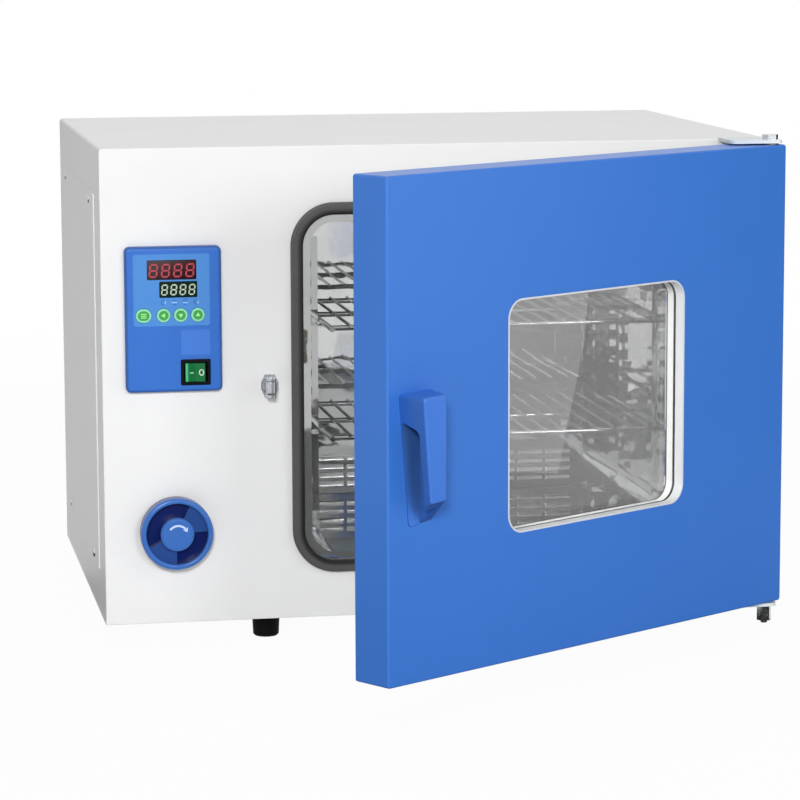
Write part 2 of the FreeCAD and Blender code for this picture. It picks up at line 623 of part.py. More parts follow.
def control_panel():
    """Moulded bezel with its overlay, displays, keys, rocker switch and circuit board."""
    bez_x = about(COL_X, BEZEL_W)
    bez_z = about(BEZ_Z, BEZEL_H)
    wall = BEZEL_WALL
    shell = block(bez_x, (BEZ_FACE, FRONT), bez_z, BEZEL_R)
    shell = soften(shell, BEZEL_EDGE, lambda e: at_level(e, "Y", BEZ_FACE))
    shell = shell.cut(block(grown(bez_x, -wall), (BEZ_FACE + wall, FRONT), grown(bez_z, -wall),
                            BEZEL_R - wall))
    recess = block(OVERLAY_X, (BEZ_FACE - 1, BEZ_FACE + OVERLAY_T), OVERLAY_Z, 2)
    through = (BEZ_FACE - 1, BEZ_FACE + wall + 1)
    displays = {"red_display": ((COL_X - 23.5, COL_X + 20.9), (BEZ_Z + 36.6, BEZ_Z + 54.0)),
                "green_display": ((COL_X - 12.5, COL_X + 21.5), (BEZ_Z + 20.3, BEZ_Z + 34.5))}
    windows = [block(grown(x, SEAT), through, grown(z, SEAT), 1.0) for x, z in displays.values()]
    key_holes = [key_solid(x, SEAT, *through) for x in KEY_X]
    key_holes.append(oval_solid(SEAT, *through))
    frame_x = about(ROCKER_X, SWITCH_W)
    frame_z = about(ROCKER_Z, SWITCH_H)
    switch_hole = block(grown(frame_x, -SWITCH_LIP + SEAT), through, grown(frame_z, -SWITCH_LIP + SEAT), 1)
    parts["control_bezel"] = without(shell, [recess] + windows + key_holes + [switch_hole])
    sheet = block(grown(OVERLAY_X, -FIT), (BEZ_FACE, BEZ_FACE + OVERLAY_T), grown(OVERLAY_Z, -FIT), 2)
    parts["display_overlay"] = without(sheet, windows + key_holes)

    board_y = (FRONT - 2.0, FRONT - 0.4)
    for name, (x, z) in displays.items():
        parts[name] = block(x, (BEZ_FACE + 0.1, board_y[0]), z, 0.8)

    key_back = BEZ_FACE + wall + SEAT
    for name, x in zip(("left_key", "down_key", "up_key"), KEY_X):
        cap = key_solid(x, 0, BEZ_FACE - 1.4, key_back + 1)
        cap = soften(cap, 0.8, lambda e: at_level(e, "Y", BEZ_FACE - 1.4))
        parts[name] = joined([cap, rod("Y", (x, KEY_Z), KEY_R + 0.9, key_back, key_back + 1)])
    cap = oval_solid(0, BEZ_FACE - 1.4, key_back + 1)
    cap = soften(cap, 0.8, lambda e: at_level(e, "Y", BEZ_FACE - 1.4))
    parts["menu_key"] = joined([cap, oval_solid(0.9, key_back, key_back + 1)])

    board = block(grown(bez_x, -wall - 1), board_y, (frame_z[1] + 4, bez_z[1] - wall - 1), 1)
    stems = [block(about(x, 6), (key_back + 1 + KEY_TRAVEL + SEAT, board_y[0]), about(KEY_Z, 6))
             for x in KEY_X + [OVAL_KEY_X]]
    chips = [block(about(COL_X - 18 + 26 * i, 12), (board_y[1], board_y[1] + 2.5),
                   about(BEZ_Z + 10 + 22 * i, 8)) for i in range(2)]
    posts = [rod("Y", (x, z), 2.2, BEZ_FACE + wall, board_y[0])
             for x in grown(bez_x, -wall - 4) for z in (frame_z[1] + 8, bez_z[1] - wall - 5)]
    parts["control_board"] = group([board] + stems + chips)
    parts["control_bezel"] = joined([parts["control_bezel"]] + posts)

    face = BEZ_FACE - 1.2
    frame = block(frame_x, (face, BEZ_FACE), frame_z, 1.5)
    frame = soften(frame, 0.7, lambda e: at_level(e, "Y", face))
    box = block(grown(frame_x, -SWITCH_LIP), (BEZ_FACE, FRONT + 18), grown(frame_z, -SWITCH_LIP), 1)
    room = block(grown(about(ROCKER_X, ROCKER_W), SEAT), (face - 1, FRONT + 16),
                 grown(about(ROCKER_Z, ROCKER_H), SEAT))
    tabs = [block(about(ROCKER_X + dx, 3), (FRONT + 18, FRONT + 26), about(ROCKER_Z, 6)) for dx in (-6, 6)]
    axle = rod("Z", (ROCKER_X, ROCKER_Y), 1.2, *about(ROCKER_Z, ROCKER_H + 1.4))
    parts["switch_frame"] = joined([frame, box]).cut(room).cut([axle]).fuse(tabs)
    parts["rocker"] = rocker_solid()


def rocker_solid():
    """Rocker with a shallow valley across its face, held on two short trunnions."""
    half = ROCKER_W / 2
    proud = 2.0
    crest = ROCKER_Y - proud - 4.2
    corners = [(ROCKER_X - half + 1.4, crest, 0.8), (ROCKER_X, crest + 1.6, 0),
               (ROCKER_X + half - 1.4, crest, 0.8), (ROCKER_X + half - 1.0, ROCKER_Y + 2, 0.8),
               (ROCKER_X, ROCKER_Y + 6, 0.8), (ROCKER_X - half + 1.0, ROCKER_Y + 2, 0.8)]
    body = prism(corners, "Z", *about(ROCKER_Z, ROCKER_H - 0.4))
    pins = rod("Z", (ROCKER_X, ROCKER_Y), 1.2 - RUN, *about(ROCKER_Z, ROCKER_H + 1.2))
    rocker = joined([body, pins])
    rocker.rotate(Vector(ROCKER_X, ROCKER_Y, 0), AXES["Z"], -ROCKER_TILT)
    return rocker


def key_solid(x, by, a, b):
    return rod("Y", (x, KEY_Z), KEY_R + by, a, b)


def oval_solid(by, a, b):
    """The wide key: a round that is drawn out sideways."""
    return block(grown((OVAL_KEY_X - 7.8, OVAL_KEY_X + 6.6), by), (a, b), grown(about(KEY_Z, 2 * KEY_R), by),
                 KEY_R + by - 0.05)


def air_damper():
    """Knob with two finger wells, its shaft, and a butterfly disc in the fresh air duct."""
    centre = (COL_X, DAMPER_Z)
    ring_y = FRONT - 1.5
    parts["damper_bezel"] = tube("Y", centre, KNOB_R - 1, DAMPER_SHAFT_R + RUN, ring_y, FRONT)
    back = ring_y - SEAT
    face = back - KNOB_D
    body = rod("Y", centre, KNOB_R, face, back)
    body = soften(body, 2.8, lambda e: at_level(e, "Y", face))
    well = tube("Y", centre, KNOB_WELL_R, KNOB_CAP_R, face - 1, face + KNOB_WELL_D)
    knob = soften(body.cut(well), 1.8, lambda e: at_level(e, "Y", face) and e.Curve.Radius == KNOB_WELL_R)
    upright = FreeCAD.Rotation(Vector(1, 0, 0), 90)
    for turn in WEB_TURNS:
        web = tube("Y", centre, KNOB_WELL_R + 0.5, KNOB_CAP_R - 0.5,
                   face + WEB_DROP, face + KNOB_WELL_D + 0.5)
        wedge = Part.makeCylinder(KNOB_R, KNOB_D, Vector(0, 0, 0), AXES["Z"], WEB_ANGLE)
        wedge.Placement = FreeCAD.Placement(Vector(COL_X, back, DAMPER_Z), upright)
        wedge.rotate(Vector(COL_X, 0, DAMPER_Z), AXES["Y"], -turn)
        knob = knob.fuse(web.common(wedge))
    knob = knob.removeSplitter()
    lift = rod("Y", centre, KNOB_CAP_R - 1.2, face - 0.8, face + 1)
    knob = joined([knob, soften(lift, 0.7, lambda e: at_level(e, "Y", face - 0.8))])
    parts["damper_knob"] = knob.cut(rod("Y", centre, DAMPER_SHAFT_R + FIT, back - 9, back + 1))

    shaft_end = DUCT_Y + DUCT_R + DUCT_T + 6
    parts["damper_shaft"] = rod("Y", centre, DAMPER_SHAFT_R, back - 8, shaft_end)
    disc = rod("X", (DUCT_Y, DAMPER_Z), DUCT_R - SEAT, *about(COL_X, 2.0))
    boss = rod("Y", centre, DAMPER_SHAFT_R + 2, *about(DUCT_Y, 2 * DUCT_R - 8))
    shaft_bore = rod("Y", centre, DAMPER_SHAFT_R + FIT, *about(DUCT_Y, 4 * DUCT_R))
    parts["damper_disc"] = joined([disc, boss]).cut(shaft_bore)

    duct = tube("X", (DUCT_Y, DAMPER_Z), DUCT_R + DUCT_T, DUCT_R, COL_X - 30, CH_LEFT + CHAMBER_R)
    flange = tube("X", (DUCT_Y, DAMPER_Z), DUCT_R + 9, DUCT_R, DIVIDER_X - SHEET - 2, DIVIDER_X - SHEET)
    bearings = tube("Y", centre, DAMPER_SHAFT_R + 3, DAMPER_SHAFT_R,
                    *about(DUCT_Y, 2 * (DUCT_R + DUCT_T + 3)))
    bearings = bearings.cut(rod("X", (DUCT_Y, DAMPER_Z), DUCT_R, COL_X - 30, CH_LEFT))
    duct = joined([duct, flange, bearings])
    duct = duct.cut(prism(chamber_outline(LINER_T + FIT), "Y", DUCT_Y - 40, DUCT_Y + 40))
    parts["damper_duct"] = duct.cut(rod("Y", centre, DAMPER_SHAFT_R + RUN, DUCT_Y - 40, DUCT_Y + 40))


def electronics():
    """Power board on standoffs in the left compartment, with transformer and relays."""
    x = (LEFT + SHEET + 22, DIVIDER_X - SHEET - 14)
    y = (BACK - 200, BACK - 60)
    floor = BOTTOM + SHEET
    board = block(x, y, (floor + 10, floor + 11.6), 2, "Z")
    posts = [tube("Z", (px, py), 3, 1.5, floor, floor + 10) for px in grown(x, -6) for py in grown(y, -6)]
    core = block(about(x[0] + 32, 40), about(y[0] + 36, 46), (floor + 11.6, floor + 49), 2, "Z")
    relays = [block(about(x[1] - 20, 16), about(y[0] + 30 + 34 * i, 26), (floor + 11.6, floor + 29), 0.8, "Z")
              for i in range(3)]
    caps = [rod("Z", (x[0] + 20 + 26 * i, y[1] - 24), 9, floor + 11.6, floor + 36) for i in range(2)]
    parts["power_board"] = group([board] + posts + [core] + relays + caps)


def catch():
    """Fork on the fascia with a roller between its cheeks, which enters a clip in the door."""
    cheek = ROLLER_H / 2 + 0.4
    tall = cheek + 4
    plan = [(8, 3), (4.6, tall), (-4.6, tall), (-8, 3), (-8, -3), (-4.6, -tall), (4.6, -tall), (8, -3)]
    foot = prism([(CATCH_X + dx, CATCH_Z + dz, 1.2) for dx, dz in plan], "Y", FRONT - 2.5, FRONT)
    outline = [(CATCH_X - 4.6, FRONT - 2.5, 0), (CATCH_X + 4.6, FRONT - 2.5, 0),
               (CATCH_X + 4, FRONT - 19, 3.5), (CATCH_X - 4, FRONT - 19, 3.5)]
    cheeks = [prism(outline, "Z", z, z + 2.5) for z in (CATCH_Z - cheek - 2.5, CATCH_Z + cheek)]
    fork = joined([foot] + cheeks)
    parts["catch_fork"] = fork.cut(rod("Z", (CATCH_X, ROLLER_Y), 1.5, *about(CATCH_Z, 60)))
    pin = rod("Z", (CATCH_X, ROLLER_Y), 1.5 - FIT, *about(CATCH_Z, 2 * cheek + 6.4))
    parts["roller_pin"] = pin
    roller = tube("Z", (CATCH_X, ROLLER_Y), ROLLER_R, 1.5 + RUN, *about(CATCH_Z, ROLLER_H))
    rims = [e for e in roller.Edges if e.Curve.TypeId == "Part::GeomCircle" and e.Curve.Radius == ROLLER_R]
    roller = roller.makeFillet(1.2, rims)
    parts["catch_roller"] = roller


def hinge_hardware():
    """Cranked brackets on the fascia above and below the door, with a bolt and a nutted pin."""
    axis = (HINGE_X, HINGE_Y)
    door_top = DOOR_LOW + DOOR_H
    leaf_x = (HINGE_X - 40, HINGE_X + 9)
    top = door_top + 1.5 + LEAF_T
    low = DOOR_LOW - 1 - LEAF_T
    brackets = []
    screws = []
    upper = ((top - LEAF_T, top), (door_top - 21, top))
    lower = ((low, low + LEAF_T), (low, DOOR_LOW + 21))
    for leaf_z, flange_z in (upper, lower):
        leaf = block(leaf_x, (HINGE_Y - 13, FRONT), leaf_z, 0)
        leaf = soften(leaf, 6, lambda e: at_level(e, "Y", HINGE_Y - 13) and at_level(e, "X", leaf_x[1])
                      or at_level(e, "Y", HINGE_Y - 13) and at_level(e, "X", leaf_x[0]))
        flange = block(leaf_x, (FRONT - LEAF_T, FRONT), flange_z)
        bracket = joined([leaf, flange]).cut(rod("Z", axis, PIN_R + FIT, *grown(leaf_z, 1)))
        middle = (flange_z[0] + flange_z[1]) / 2
        for x in (leaf_x[0] + 10, leaf_x[1] - 12):
            sink = [rod("Y", (x, middle), 4.1, FRONT - LEAF_T - 1, FRONT - LEAF_T + 2)]
            bracket = bracket.cut(sink)
            screws.append(rod("Y", (x, middle), 4.0, FRONT - LEAF_T + 0.3, FRONT - LEAF_T + 2))
        brackets.append(bracket)
    parts["hinge_brackets"] = group(brackets)
    parts["hinge_screws"] = group(screws)

    head = hexagon("Z", axis, 13, top, top + 4.5)
    nut = hexagon("Z", axis, 12, low - 15, low)
    bolt = joined([head, rod("Z", axis, PIN_R, door_top - 15, top)])
    stud = joined([rod("Z", axis, PIN_R, low, DOOR_LOW + 15), nut, rod("Z", axis, 3, low - 17.5, low)])
    parts["hinge_pins"] = group([bolt, stud])


def door():
    """Pressed steel pan, inner tray, wool, double window, handle, bushes, clip and screws."""
    door_x = (DOOR_LEFT, RIGHT)
    door_z = (DOOR_LOW, DOOR_LOW + DOOR_H)
    pan = block(door_x, (DOOR_OUT, DOOR_IN), door_z, DOOR_R)
    pan = soften(pan, 2.0, lambda e: at_level(e, "Y", DOOR_OUT))
    pan = pan.cut(block(grown(door_x, -DOOR_SHEET), (DOOR_OUT + DOOR_SHEET, DOOR_IN),
                        grown(door_z, -DOOR_SHEET), DOOR_R - DOOR_SHEET))
    pan = pan.cut(prism(window_outline(DOOR_SHEET), "Y", DOOR_OUT - 1, DOOR_OUT + DOOR_SHEET + 1))
    axis = (HINGE_X, HINGE_Y)
    bores = [rod("Z", axis, BUSH_R + FIT, *about(z, 10)) for z in door_z]
    parts["door_outer_skin"] = pan.cut(bores)

    tray_x = grown(door_x, -DOOR_SHEET - SEAT)
    tray_z = grown(door_z, -DOOR_SHEET - SEAT)
    tray = block(tray_x, (DOOR_IN - 9, DOOR_IN), tray_z, DOOR_R)
    tray = tray.cut(block(grown(tray_x, -DOOR_SHEET), (DOOR_IN - 9, DOOR_IN - DOOR_SHEET),
                          grown(tray_z, -DOOR_SHEET), DOOR_R - DOOR_SHEET))
    slot = block(about(CATCH_X, 27), (DOOR_IN - 4, DOOR_IN + 1), about(CATCH_Z, 32), 2)
    opening = prism(window_outline(INNER_STEP), "Y", DOOR_IN - 4, DOOR_IN + 1)
    parts["door_inner_panel"] = tray.cut([opening, slot])

    blocks = []
    low = door_z[0] + DOOR_SHEET + SEAT
    high = door_z[1] - DOOR_SHEET - SEAT
    for a, b in ((low, low + 15), (high - 15, high)):
        lump = block((HINGE_X - 16, RIGHT - DOOR_SHEET - SEAT), (DOOR_OUT + DOOR_SHEET + SEAT, HINGE_Y + 12),
                     (a, b), 2)
        blocks.append(lump.cut(rod("Z", axis, BUSH_R + FIT, a - 1, b + 1)))
    parts["hinge_blocks"] = group(blocks)
    low_bush = joined([tube("Z", axis, BUSH_R, PIN_R + RUN, door_z[0], door_z[0] + 16),
                       tube("Z", axis, BUSH_R + 2, PIN_R + RUN, door_z[0] - 0.7, door_z[0])])
    high_bush = joined([tube("Z", axis, BUSH_R, PIN_R + RUN, door_z[1] - 16, door_z[1]),
                        tube("Z", axis, BUSH_R + 2, PIN_R + RUN, door_z[1], door_z[1] + 1.2)])
    parts["door_bushes"] = group([low_bush, high_bush])

    wool = block(grown(tray_x, -6), (DOOR_OUT + DOOR_SHEET + SEAT, DOOR_IN - 10), grown(tray_z, -18))
    pocket = block(about(CATCH_X, 58), (DOOR_IN - 27, DOOR_IN), about(CATCH_Z, 40))
    around = prism(window_outline(INNER_STEP + RIM + SEAT), "Y", DOOR_OUT, DOOR_IN)
    parts["door_insulation"] = wool.cut([around, pocket])

    rim = window_ring(DOOR_SHEET - FIT, 0, OUTER_PANE, DOOR_T + 0.3)
    flange = window_ring(RIM, 0, OUTER_PANE, DOOR_T - DOOR_SHEET)
    parts["window_trim"] = joined([rim, flange])
    panes = [(OUTER_PANE, RIM - 2), (INNER_PANE, INNER_STEP + RIM - 2)]
    parts["window_panes"] = group([prism(window_outline(by), "Y", DOOR_IN - n, DOOR_IN - n + GLASS_T)
                                   for n, by in panes])
    gap = (INNER_PANE, OUTER_PANE - GLASS_T)
    parts["glass_seals"] = group([window_ring(RIM - 2, 0, gap[0], gap[0] + SEAL_T),
                                  window_ring(RIM - 2, 0, gap[1] - SEAL_T, gap[1])])
    parts["window_frame"] = window_ring(INNER_STEP + RIM, 0, gap[0] + SEAL_T, gap[1] - SEAL_T)
    parts["inner_retainer"] = window_ring(INNER_STEP + RIM, INNER_STEP, DOOR_SHEET, INNER_PANE - GLASS_T)

    parts["door_handle"] = handle()
    parts["latch_clip"] = latch_clip()
    heads = [screw("Y", (x, z), DOOR_IN, 1, 3.5, 1.2) for x in (door_x[0] + 12, door_x[1] - 27)
             for z in (door_z[0] + 30, door_z[1] - 163, door_z[1] - 34)]
    parts["door_screws"] = group(heads)
    for name in DOOR_NODES:
        parts[name] = parts[name].copy()
        parts[name].rotate(Vector(HINGE_X, HINGE_Y, 0), AXES["Z"], DOOR_OPEN)


def handle():
    """Moulded grip, narrower at its front, with a finger scoop that runs out at its lower end."""
    x = DOOR_LEFT
    z = DOOR_LOW
    foot = [(x + 23.4, z + 134, 3), (x + 52, z + 138, 3), (x + 52, z + 248, 3), (x + 12.6, z + 247, 3)]
    front = [(x + 20.5, z + 158, 3), (x + 39, z + 159, 3), (x + 39.5, z + 248, 3), (x + 12.6, z + 247, 3)]
    outlines = [rounded_wire(foot, "Y", DOOR_OUT), rounded_wire(front, "Y", DOOR_OUT - HANDLE_D)]
    grip = Part.makeLoft(outlines, True, True)
    grip = soften(grip, 2.2, lambda e: at_level(e, "Y", DOOR_OUT - HANDLE_D))
    near = DOOR_OUT - 1
    far = DOOR_OUT - HANDLE_D + 8
    scoop = [(far, z + 120, 0), (near, z + 120, 0), (near, z + 224.5, 3), (far, z + 218, 7)]
    return grip.cut(prism(scoop, "X", x - 10, x + 36))


def latch_clip():
    """Bent spring strip behind the slot, with two leaves that take the roller between them."""
    t = 1.0
    z = about(CATCH_Z, 10)
    half = ROLLER_R + 0.7
    back = (DOOR_IN - 25, DOOR_IN - 24)
    seat = DOOR_IN - DOOR_SHEET
    bends = [block(about(CATCH_X, 2 * 18), back, z)]
    for s in (-1, 1):
        bends.append(block(sorted((CATCH_X + s * 18, CATCH_X + s * (18 - t))), (back[0], seat), z))
        bends.append(block(sorted((CATCH_X + s * 27, CATCH_X + s * (18 - t))), (seat - t, seat), z))
        path = [(half, back[1]), (half, DOOR_IN - 9), (half + 1.4, DOOR_IN - 4),
                (half + 1.4 + t, DOOR_IN - 4), (half + t, DOOR_IN - 9), (half + t, back[1])]
        bends.append(prism([(CATCH_X + s * off, y, 0) for off, y in path], "Z", *z))
    return joined(bends)


cabinet()
liner()
baffle()
shelf_carriers()
shelves()
air_drive()
heat_and_sense()
control_panel()
air_damper()
electronics()
catch()
hinge_hardware()
door()

os.makedirs("parts", exist_ok=True)
for name, shape in parts.items():
    shape.exportStep("parts/" + name + ".step")
print(len(parts), "parts")
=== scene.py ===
import bpy
import bmesh
import math
from mathutils import Matrix, Vector


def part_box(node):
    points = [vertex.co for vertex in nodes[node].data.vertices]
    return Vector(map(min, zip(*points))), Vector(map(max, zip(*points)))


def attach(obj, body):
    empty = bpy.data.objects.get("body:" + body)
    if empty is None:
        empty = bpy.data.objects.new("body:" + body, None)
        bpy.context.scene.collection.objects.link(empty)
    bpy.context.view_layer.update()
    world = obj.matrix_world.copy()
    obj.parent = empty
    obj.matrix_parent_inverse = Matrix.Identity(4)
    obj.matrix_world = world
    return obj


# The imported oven, in metres: the front faces -Y, +X is to the right, +Z up, and it stands on z = 0.
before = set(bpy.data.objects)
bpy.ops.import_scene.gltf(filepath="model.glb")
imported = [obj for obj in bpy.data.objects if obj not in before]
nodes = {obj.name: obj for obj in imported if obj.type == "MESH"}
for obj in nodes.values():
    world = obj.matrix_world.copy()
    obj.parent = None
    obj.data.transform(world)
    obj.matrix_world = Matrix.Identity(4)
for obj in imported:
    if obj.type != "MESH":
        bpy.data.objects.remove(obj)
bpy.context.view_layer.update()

# Cabinet shell, fascia, rear cover and side cover
# Folded sheet steel, 1.5 mm thick, sprayed with white polyester powder and baked. The baked coat is
# semi-gloss and keeps a faint orange peel, a few millimetres from bump to bump.
def linear(hex_colour):
    """An sRGB hex colour as linear red, green, blue and alpha."""
    channels = [int(hex_colour[i:i + 2], 16) / 255 for i in (1, 3, 5)]
    return [c / 12.92 if c <= 0.04045 else ((c + 0.055) / 1.055) ** 2.4 for c in channels] + [1.0]


def add_node(tree, kind, settings=None, links=None):
    """Adds one node, sets properties or input values and links inputs to other nodes' outputs."""
    made = tree.nodes.new(kind)
    for key, value in (settings or {}).items():
        if isinstance(key, str) and key in made.bl_rna.properties:
            setattr(made, key, value)
        else:
            made.inputs[key].default_value = value
    for key, source in (links or {}).items():
        tree.links.new(source, made.inputs[key])
    return made


def start_finish(name):
    """A new material with an empty tree, and the place on the piece, in metres."""
    finish = bpy.data.materials.new(name)
    finish.use_nodes = True
    tree = finish.node_tree
    tree.nodes.clear()
    return finish, tree, add_node(tree, "ShaderNodeTexCoord").outputs["Object"]


def end_finish(tree, settings, links):
    """Ends a material's tree in one Principled shader."""
    shader = add_node(tree, "ShaderNodeBsdfPrincipled", settings, links)
    add_node(tree, "ShaderNodeOutputMaterial", links={"Surface": shader.outputs[0]})


def per_metre(size_mm):
    """The texture scale at which a pattern repeats about once in so many millimetres."""
    return 1000 / size_mm


def mottle(tree, place, light, dark, size_mm, detail):
    """A colour that drifts between two near ones, and the drift itself from 0 to 1."""
    drift = add_node(tree, "ShaderNodeTexNoise", {"Scale": per_metre(size_mm), "Detail": detail},
                     {"Vector": place}).outputs[0]
    colour = add_node(tree, "ShaderNodeMix",
                      {"data_type": "RGBA", 6: linear(light), 7: linear(dark)}, {0: drift})
    return colour.outputs[2], drift


def dress(finish, *names):
    """Puts a finish on whole pieces of the oven."""
    for name in names:
        slots = nodes[name].data.materials
        if not slots:
            slots.append(finish)
        for i in range(len(slots)):
            slots[i] = finish


DRIFT_MM = 90
PEEL_MM = 2.6
FLECK_MM = 0.7
FINE_BUMP = 0.0001


def powder_coat(name, light, dark, roughness, shine=0.5):
    """Baked powder: two near colours in slow drifts, uneven gloss and an orange peel bump."""
    finish, tree, place = start_finish(name)
    colour = mottle(tree, place, light, dark, DRIFT_MM, 3)[0]
    fleck = add_node(tree, "ShaderNodeTexNoise", {"Scale": per_metre(FLECK_MM), "Detail": 2},
                     {"Vector": place})
    gloss = add_node(tree, "ShaderNodeMapRange",
                     {"To Min": roughness - 0.05, "To Max": roughness + 0.07},
                     {"Value": fleck.outputs[0]})
    peel = add_node(tree, "ShaderNodeTexNoise", {"Scale": per_metre(PEEL_MM), "Detail": 1},
                    {"Vector": place})
    bump = add_node(tree, "ShaderNodeBump", {"Strength": 0.10, "Distance": FINE_BUMP},
                    {"Height": peel.outputs[0]})
    end_finish(tree, {"Specular IOR Level": shine},
               {"Base Color": colour, "Roughness": gloss.outputs[0], "Normal": bump.outputs[0]})
    return finish


white_enamel = powder_coat("baked white powder coat", "#f4f4f4", "#eeeeee", 0.42)
dress(white_enamel, "outer_shell", "front_fascia", "rear_cover", "left_access_cover")

# Base plate, divider, motor plate, damper, shafts, clip and screws
# Mild steel with bright zinc plate. Zinc gives a bluish grey mirror broken by a fine spangle, with
# darker handling marks where it has been gripped.
SPANGLE_MM = 5.0
HANDLING_MM = 22


def plated_metal(name, light, dark, roughness, spangle_mm):
    """Bare or plated metal: handling marks in the colour, a spangle in the gloss."""
    finish, tree, place = start_finish(name)
    cells = add_node(tree, "ShaderNodeTexVoronoi", {"Scale": per_metre(spangle_mm)},
                     {"Vector": place})
    colour, haze = mottle(tree, place, light, dark, HANDLING_MM, 4)
    gloss = add_node(tree, "ShaderNodeMapRange", {"To Min": roughness, "To Max": roughness + 0.15},
                     {"Value": cells.outputs[0]})
    bump = add_node(tree, "ShaderNodeBump", {"Strength": 0.15, "Distance": FINE_BUMP},
                    {"Height": haze})
    end_finish(tree, {"Metallic": 1.0},
               {"Base Color": colour, "Roughness": gloss.outputs[0], "Normal": bump.outputs[0]})
    return finish


zinc = plated_metal("bright zinc plate", "#c4c8cc", "#a2a6ac", 0.28, SPANGLE_MM)
dress(zinc, "base_plate", "divider_panel", "motor_plate", "case_screws", "damper_duct",
      "damper_disc", "damper_shaft", "fan_shaft", "hinge_screws", "hinge_blocks", "latch_clip",
      "door_screws")

# Door catch and hinge pins
# A fork and a roller on a riveted pin, and the bolts that the door swings on: bright drawn steel,
# turned and tumbled, which keeps a sharper shine than the plate.
bright_steel = plated_metal("bright drawn steel", "#dfe2e5", "#a9adb2", 0.14, 2.2)
dress(bright_steel, "catch_fork", "catch_roller", "roller_pin", "hinge_pins")

# Hinge brackets
# Cranked steel leaves, sprayed a light grey white before they are screwed to the cabinet.
bracket_coat = powder_coat("grey white powder coat", "#e7edef", "#dbe1e4", 0.38)
dress(bracket_coat, "hinge_brackets")

# Feet, glass seals and mains gland
# Moulded black nitrile rubber: matt, with a dusty bloom and a fine moulded grain.
BLOOM_MM = 14


def rubber(name, light, dark, roughness, grain_mm, shine):
    """Moulded or extruded rubber: a patchy bloom over a fine grain."""
    finish, tree, place = start_finish(name)
    colour = mottle(tree, place, dark, light, BLOOM_MM, 5)[0]
    grain = add_node(tree, "ShaderNodeTexNoise", {"Scale": per_metre(grain_mm), "Detail": 2},
                     {"Vector": place})
    bump = add_node(tree, "ShaderNodeBump", {"Strength": 0.3, "Distance": FINE_BUMP},
                    {"Height": grain.outputs[0]})
    end_finish(tree, {"Roughness": roughness, "Specular IOR Level": shine},
               {"Base Color": colour, "Normal": bump.outputs[0]})
    return finish


black_rubber = rubber("moulded black rubber", "#09090a", "#050506", 0.62, 0.8, 0.08)
dress(black_rubber, "feet", "glass_seals", "mains_gland")

# Chamber liner, door inner panel, retainer, shelf strips and clips, exhaust tube and probe
# Stainless sheet, polished to a near mirror and then drawn over felt, which leaves hairlines along
# the sheet. It shows the shelves again in the floor and the walls.
HAIRLINE_MM = 0.9
SHEET_TONE_MM = 60
FELT_STROKES = (0.04, 0.04, 1.0)


def polished_steel(name, light, dark, roughness, stretch, wave_mm, haze=0.0):
    """Mirror stainless with hairlines. Stretch squeezes each axis for them, wave_mm is the sheet's
    ripple and haze the share of light that the felt's fine scratches scatter."""
    finish, tree, place = start_finish(name)
    lines = add_node(tree, "ShaderNodeMapping", {"Scale": stretch}, {"Vector": place})
    hair = add_node(tree, "ShaderNodeTexNoise", {"Scale": per_metre(HAIRLINE_MM), "Detail": 2},
                    {"Vector": lines.outputs[0]})
    colour, tone = mottle(tree, place, light, dark, SHEET_TONE_MM, 3)
    gloss = add_node(tree, "ShaderNodeMapRange",
                     {"To Min": roughness * 0.6, "To Max": roughness * 1.5},
                     {"Value": hair.outputs[0]})
    bump = add_node(tree, "ShaderNodeBump", {"Strength": 0.6, "Distance": wave_mm / 1000},
                    {"Height": tone})
    end_finish(tree, {"Metallic": 1.0 - haze},
               {"Base Color": colour, "Roughness": gloss.outputs[0], "Normal": bump.outputs[0]})
    return finish


liner_steel = polished_steel("mirror polished stainless sheet", "#e0e0e0", "#cecfcf", 0.03,
                             FELT_STROKES, 0.5, 0.14)
dress(liner_steel, "chamber_liner", "door_inner_panel", "inner_retainer", "shelf_strips",
      "shelf_clips", "exhaust_tube", "temperature_probe")

# Rear baffle
# The same stainless sheet. The louvres are pressed out of it after polishing. Their hoods are made
# less mirror-like, and painted paler as a highlight where their faces turn from the sheet's plane.
FLAT_FACING = 0.985
HOOD_FACING = 0.9
FLAT_METALLIC = 0.92
HOOD_METALLIC = 0.4


def node_of(finish, kind):
    """The one node of a kind in a finish that is already made."""
    return next(node for node in finish.node_tree.nodes if node.type == kind)


def facing(finish, direction):
    """1 where a surface of the piece faces along a direction, falling to 0 across it."""
    normal = node_of(finish, "TEX_COORD").outputs["Normal"]
    return add_node(finish.node_tree, "ShaderNodeVectorMath",
                    {"operation": "DOT_PRODUCT", 1: direction}, {0: normal}).outputs["Value"]


def shade(finish, source, span, hex_colour):
    """Fades a finish's colour to another as a value goes from the span's start to its end."""
    tree = finish.node_tree
    base = node_of(finish, "BSDF_PRINCIPLED").inputs["Base Color"]
    fade = add_node(tree, "ShaderNodeMapRange",
                    {"interpolation_type": "SMOOTHSTEP", "From Min": span[0], "From Max": span[1]},
                    {"Value": source})
    colour = add_node(tree, "ShaderNodeMix", {"data_type": "RGBA", 7: linear(hex_colour)},
                      {0: fade.outputs[0], 6: base.links[0].from_socket})
    tree.links.new(colour.outputs[2], base)


baffle_steel = polished_steel("pressed stainless sheet", "#dadbdb", "#c6c8c8", 0.03,
                              FELT_STROKES, 0.6)
flatness = facing(baffle_steel, (0, -1, 0))
# Painted highlight: hood faces that turn from the sheet's plane get a paler colour.
shade(baffle_steel, flatness, (FLAT_FACING, HOOD_FACING), "#f2f2f2")
satin = add_node(baffle_steel.node_tree, "ShaderNodeMapRange",
                 {"From Min": HOOD_FACING, "From Max": FLAT_FACING, "To Min": HOOD_METALLIC,
                  "To Max": FLAT_METALLIC}, {"Value": flatness})
baffle_shader = node_of(baffle_steel, "BSDF_PRINCIPLED")
baffle_steel.node_tree.links.new(satin.outputs[0], baffle_shader.inputs["Metallic"])
dress(baffle_steel, "rear_baffle")

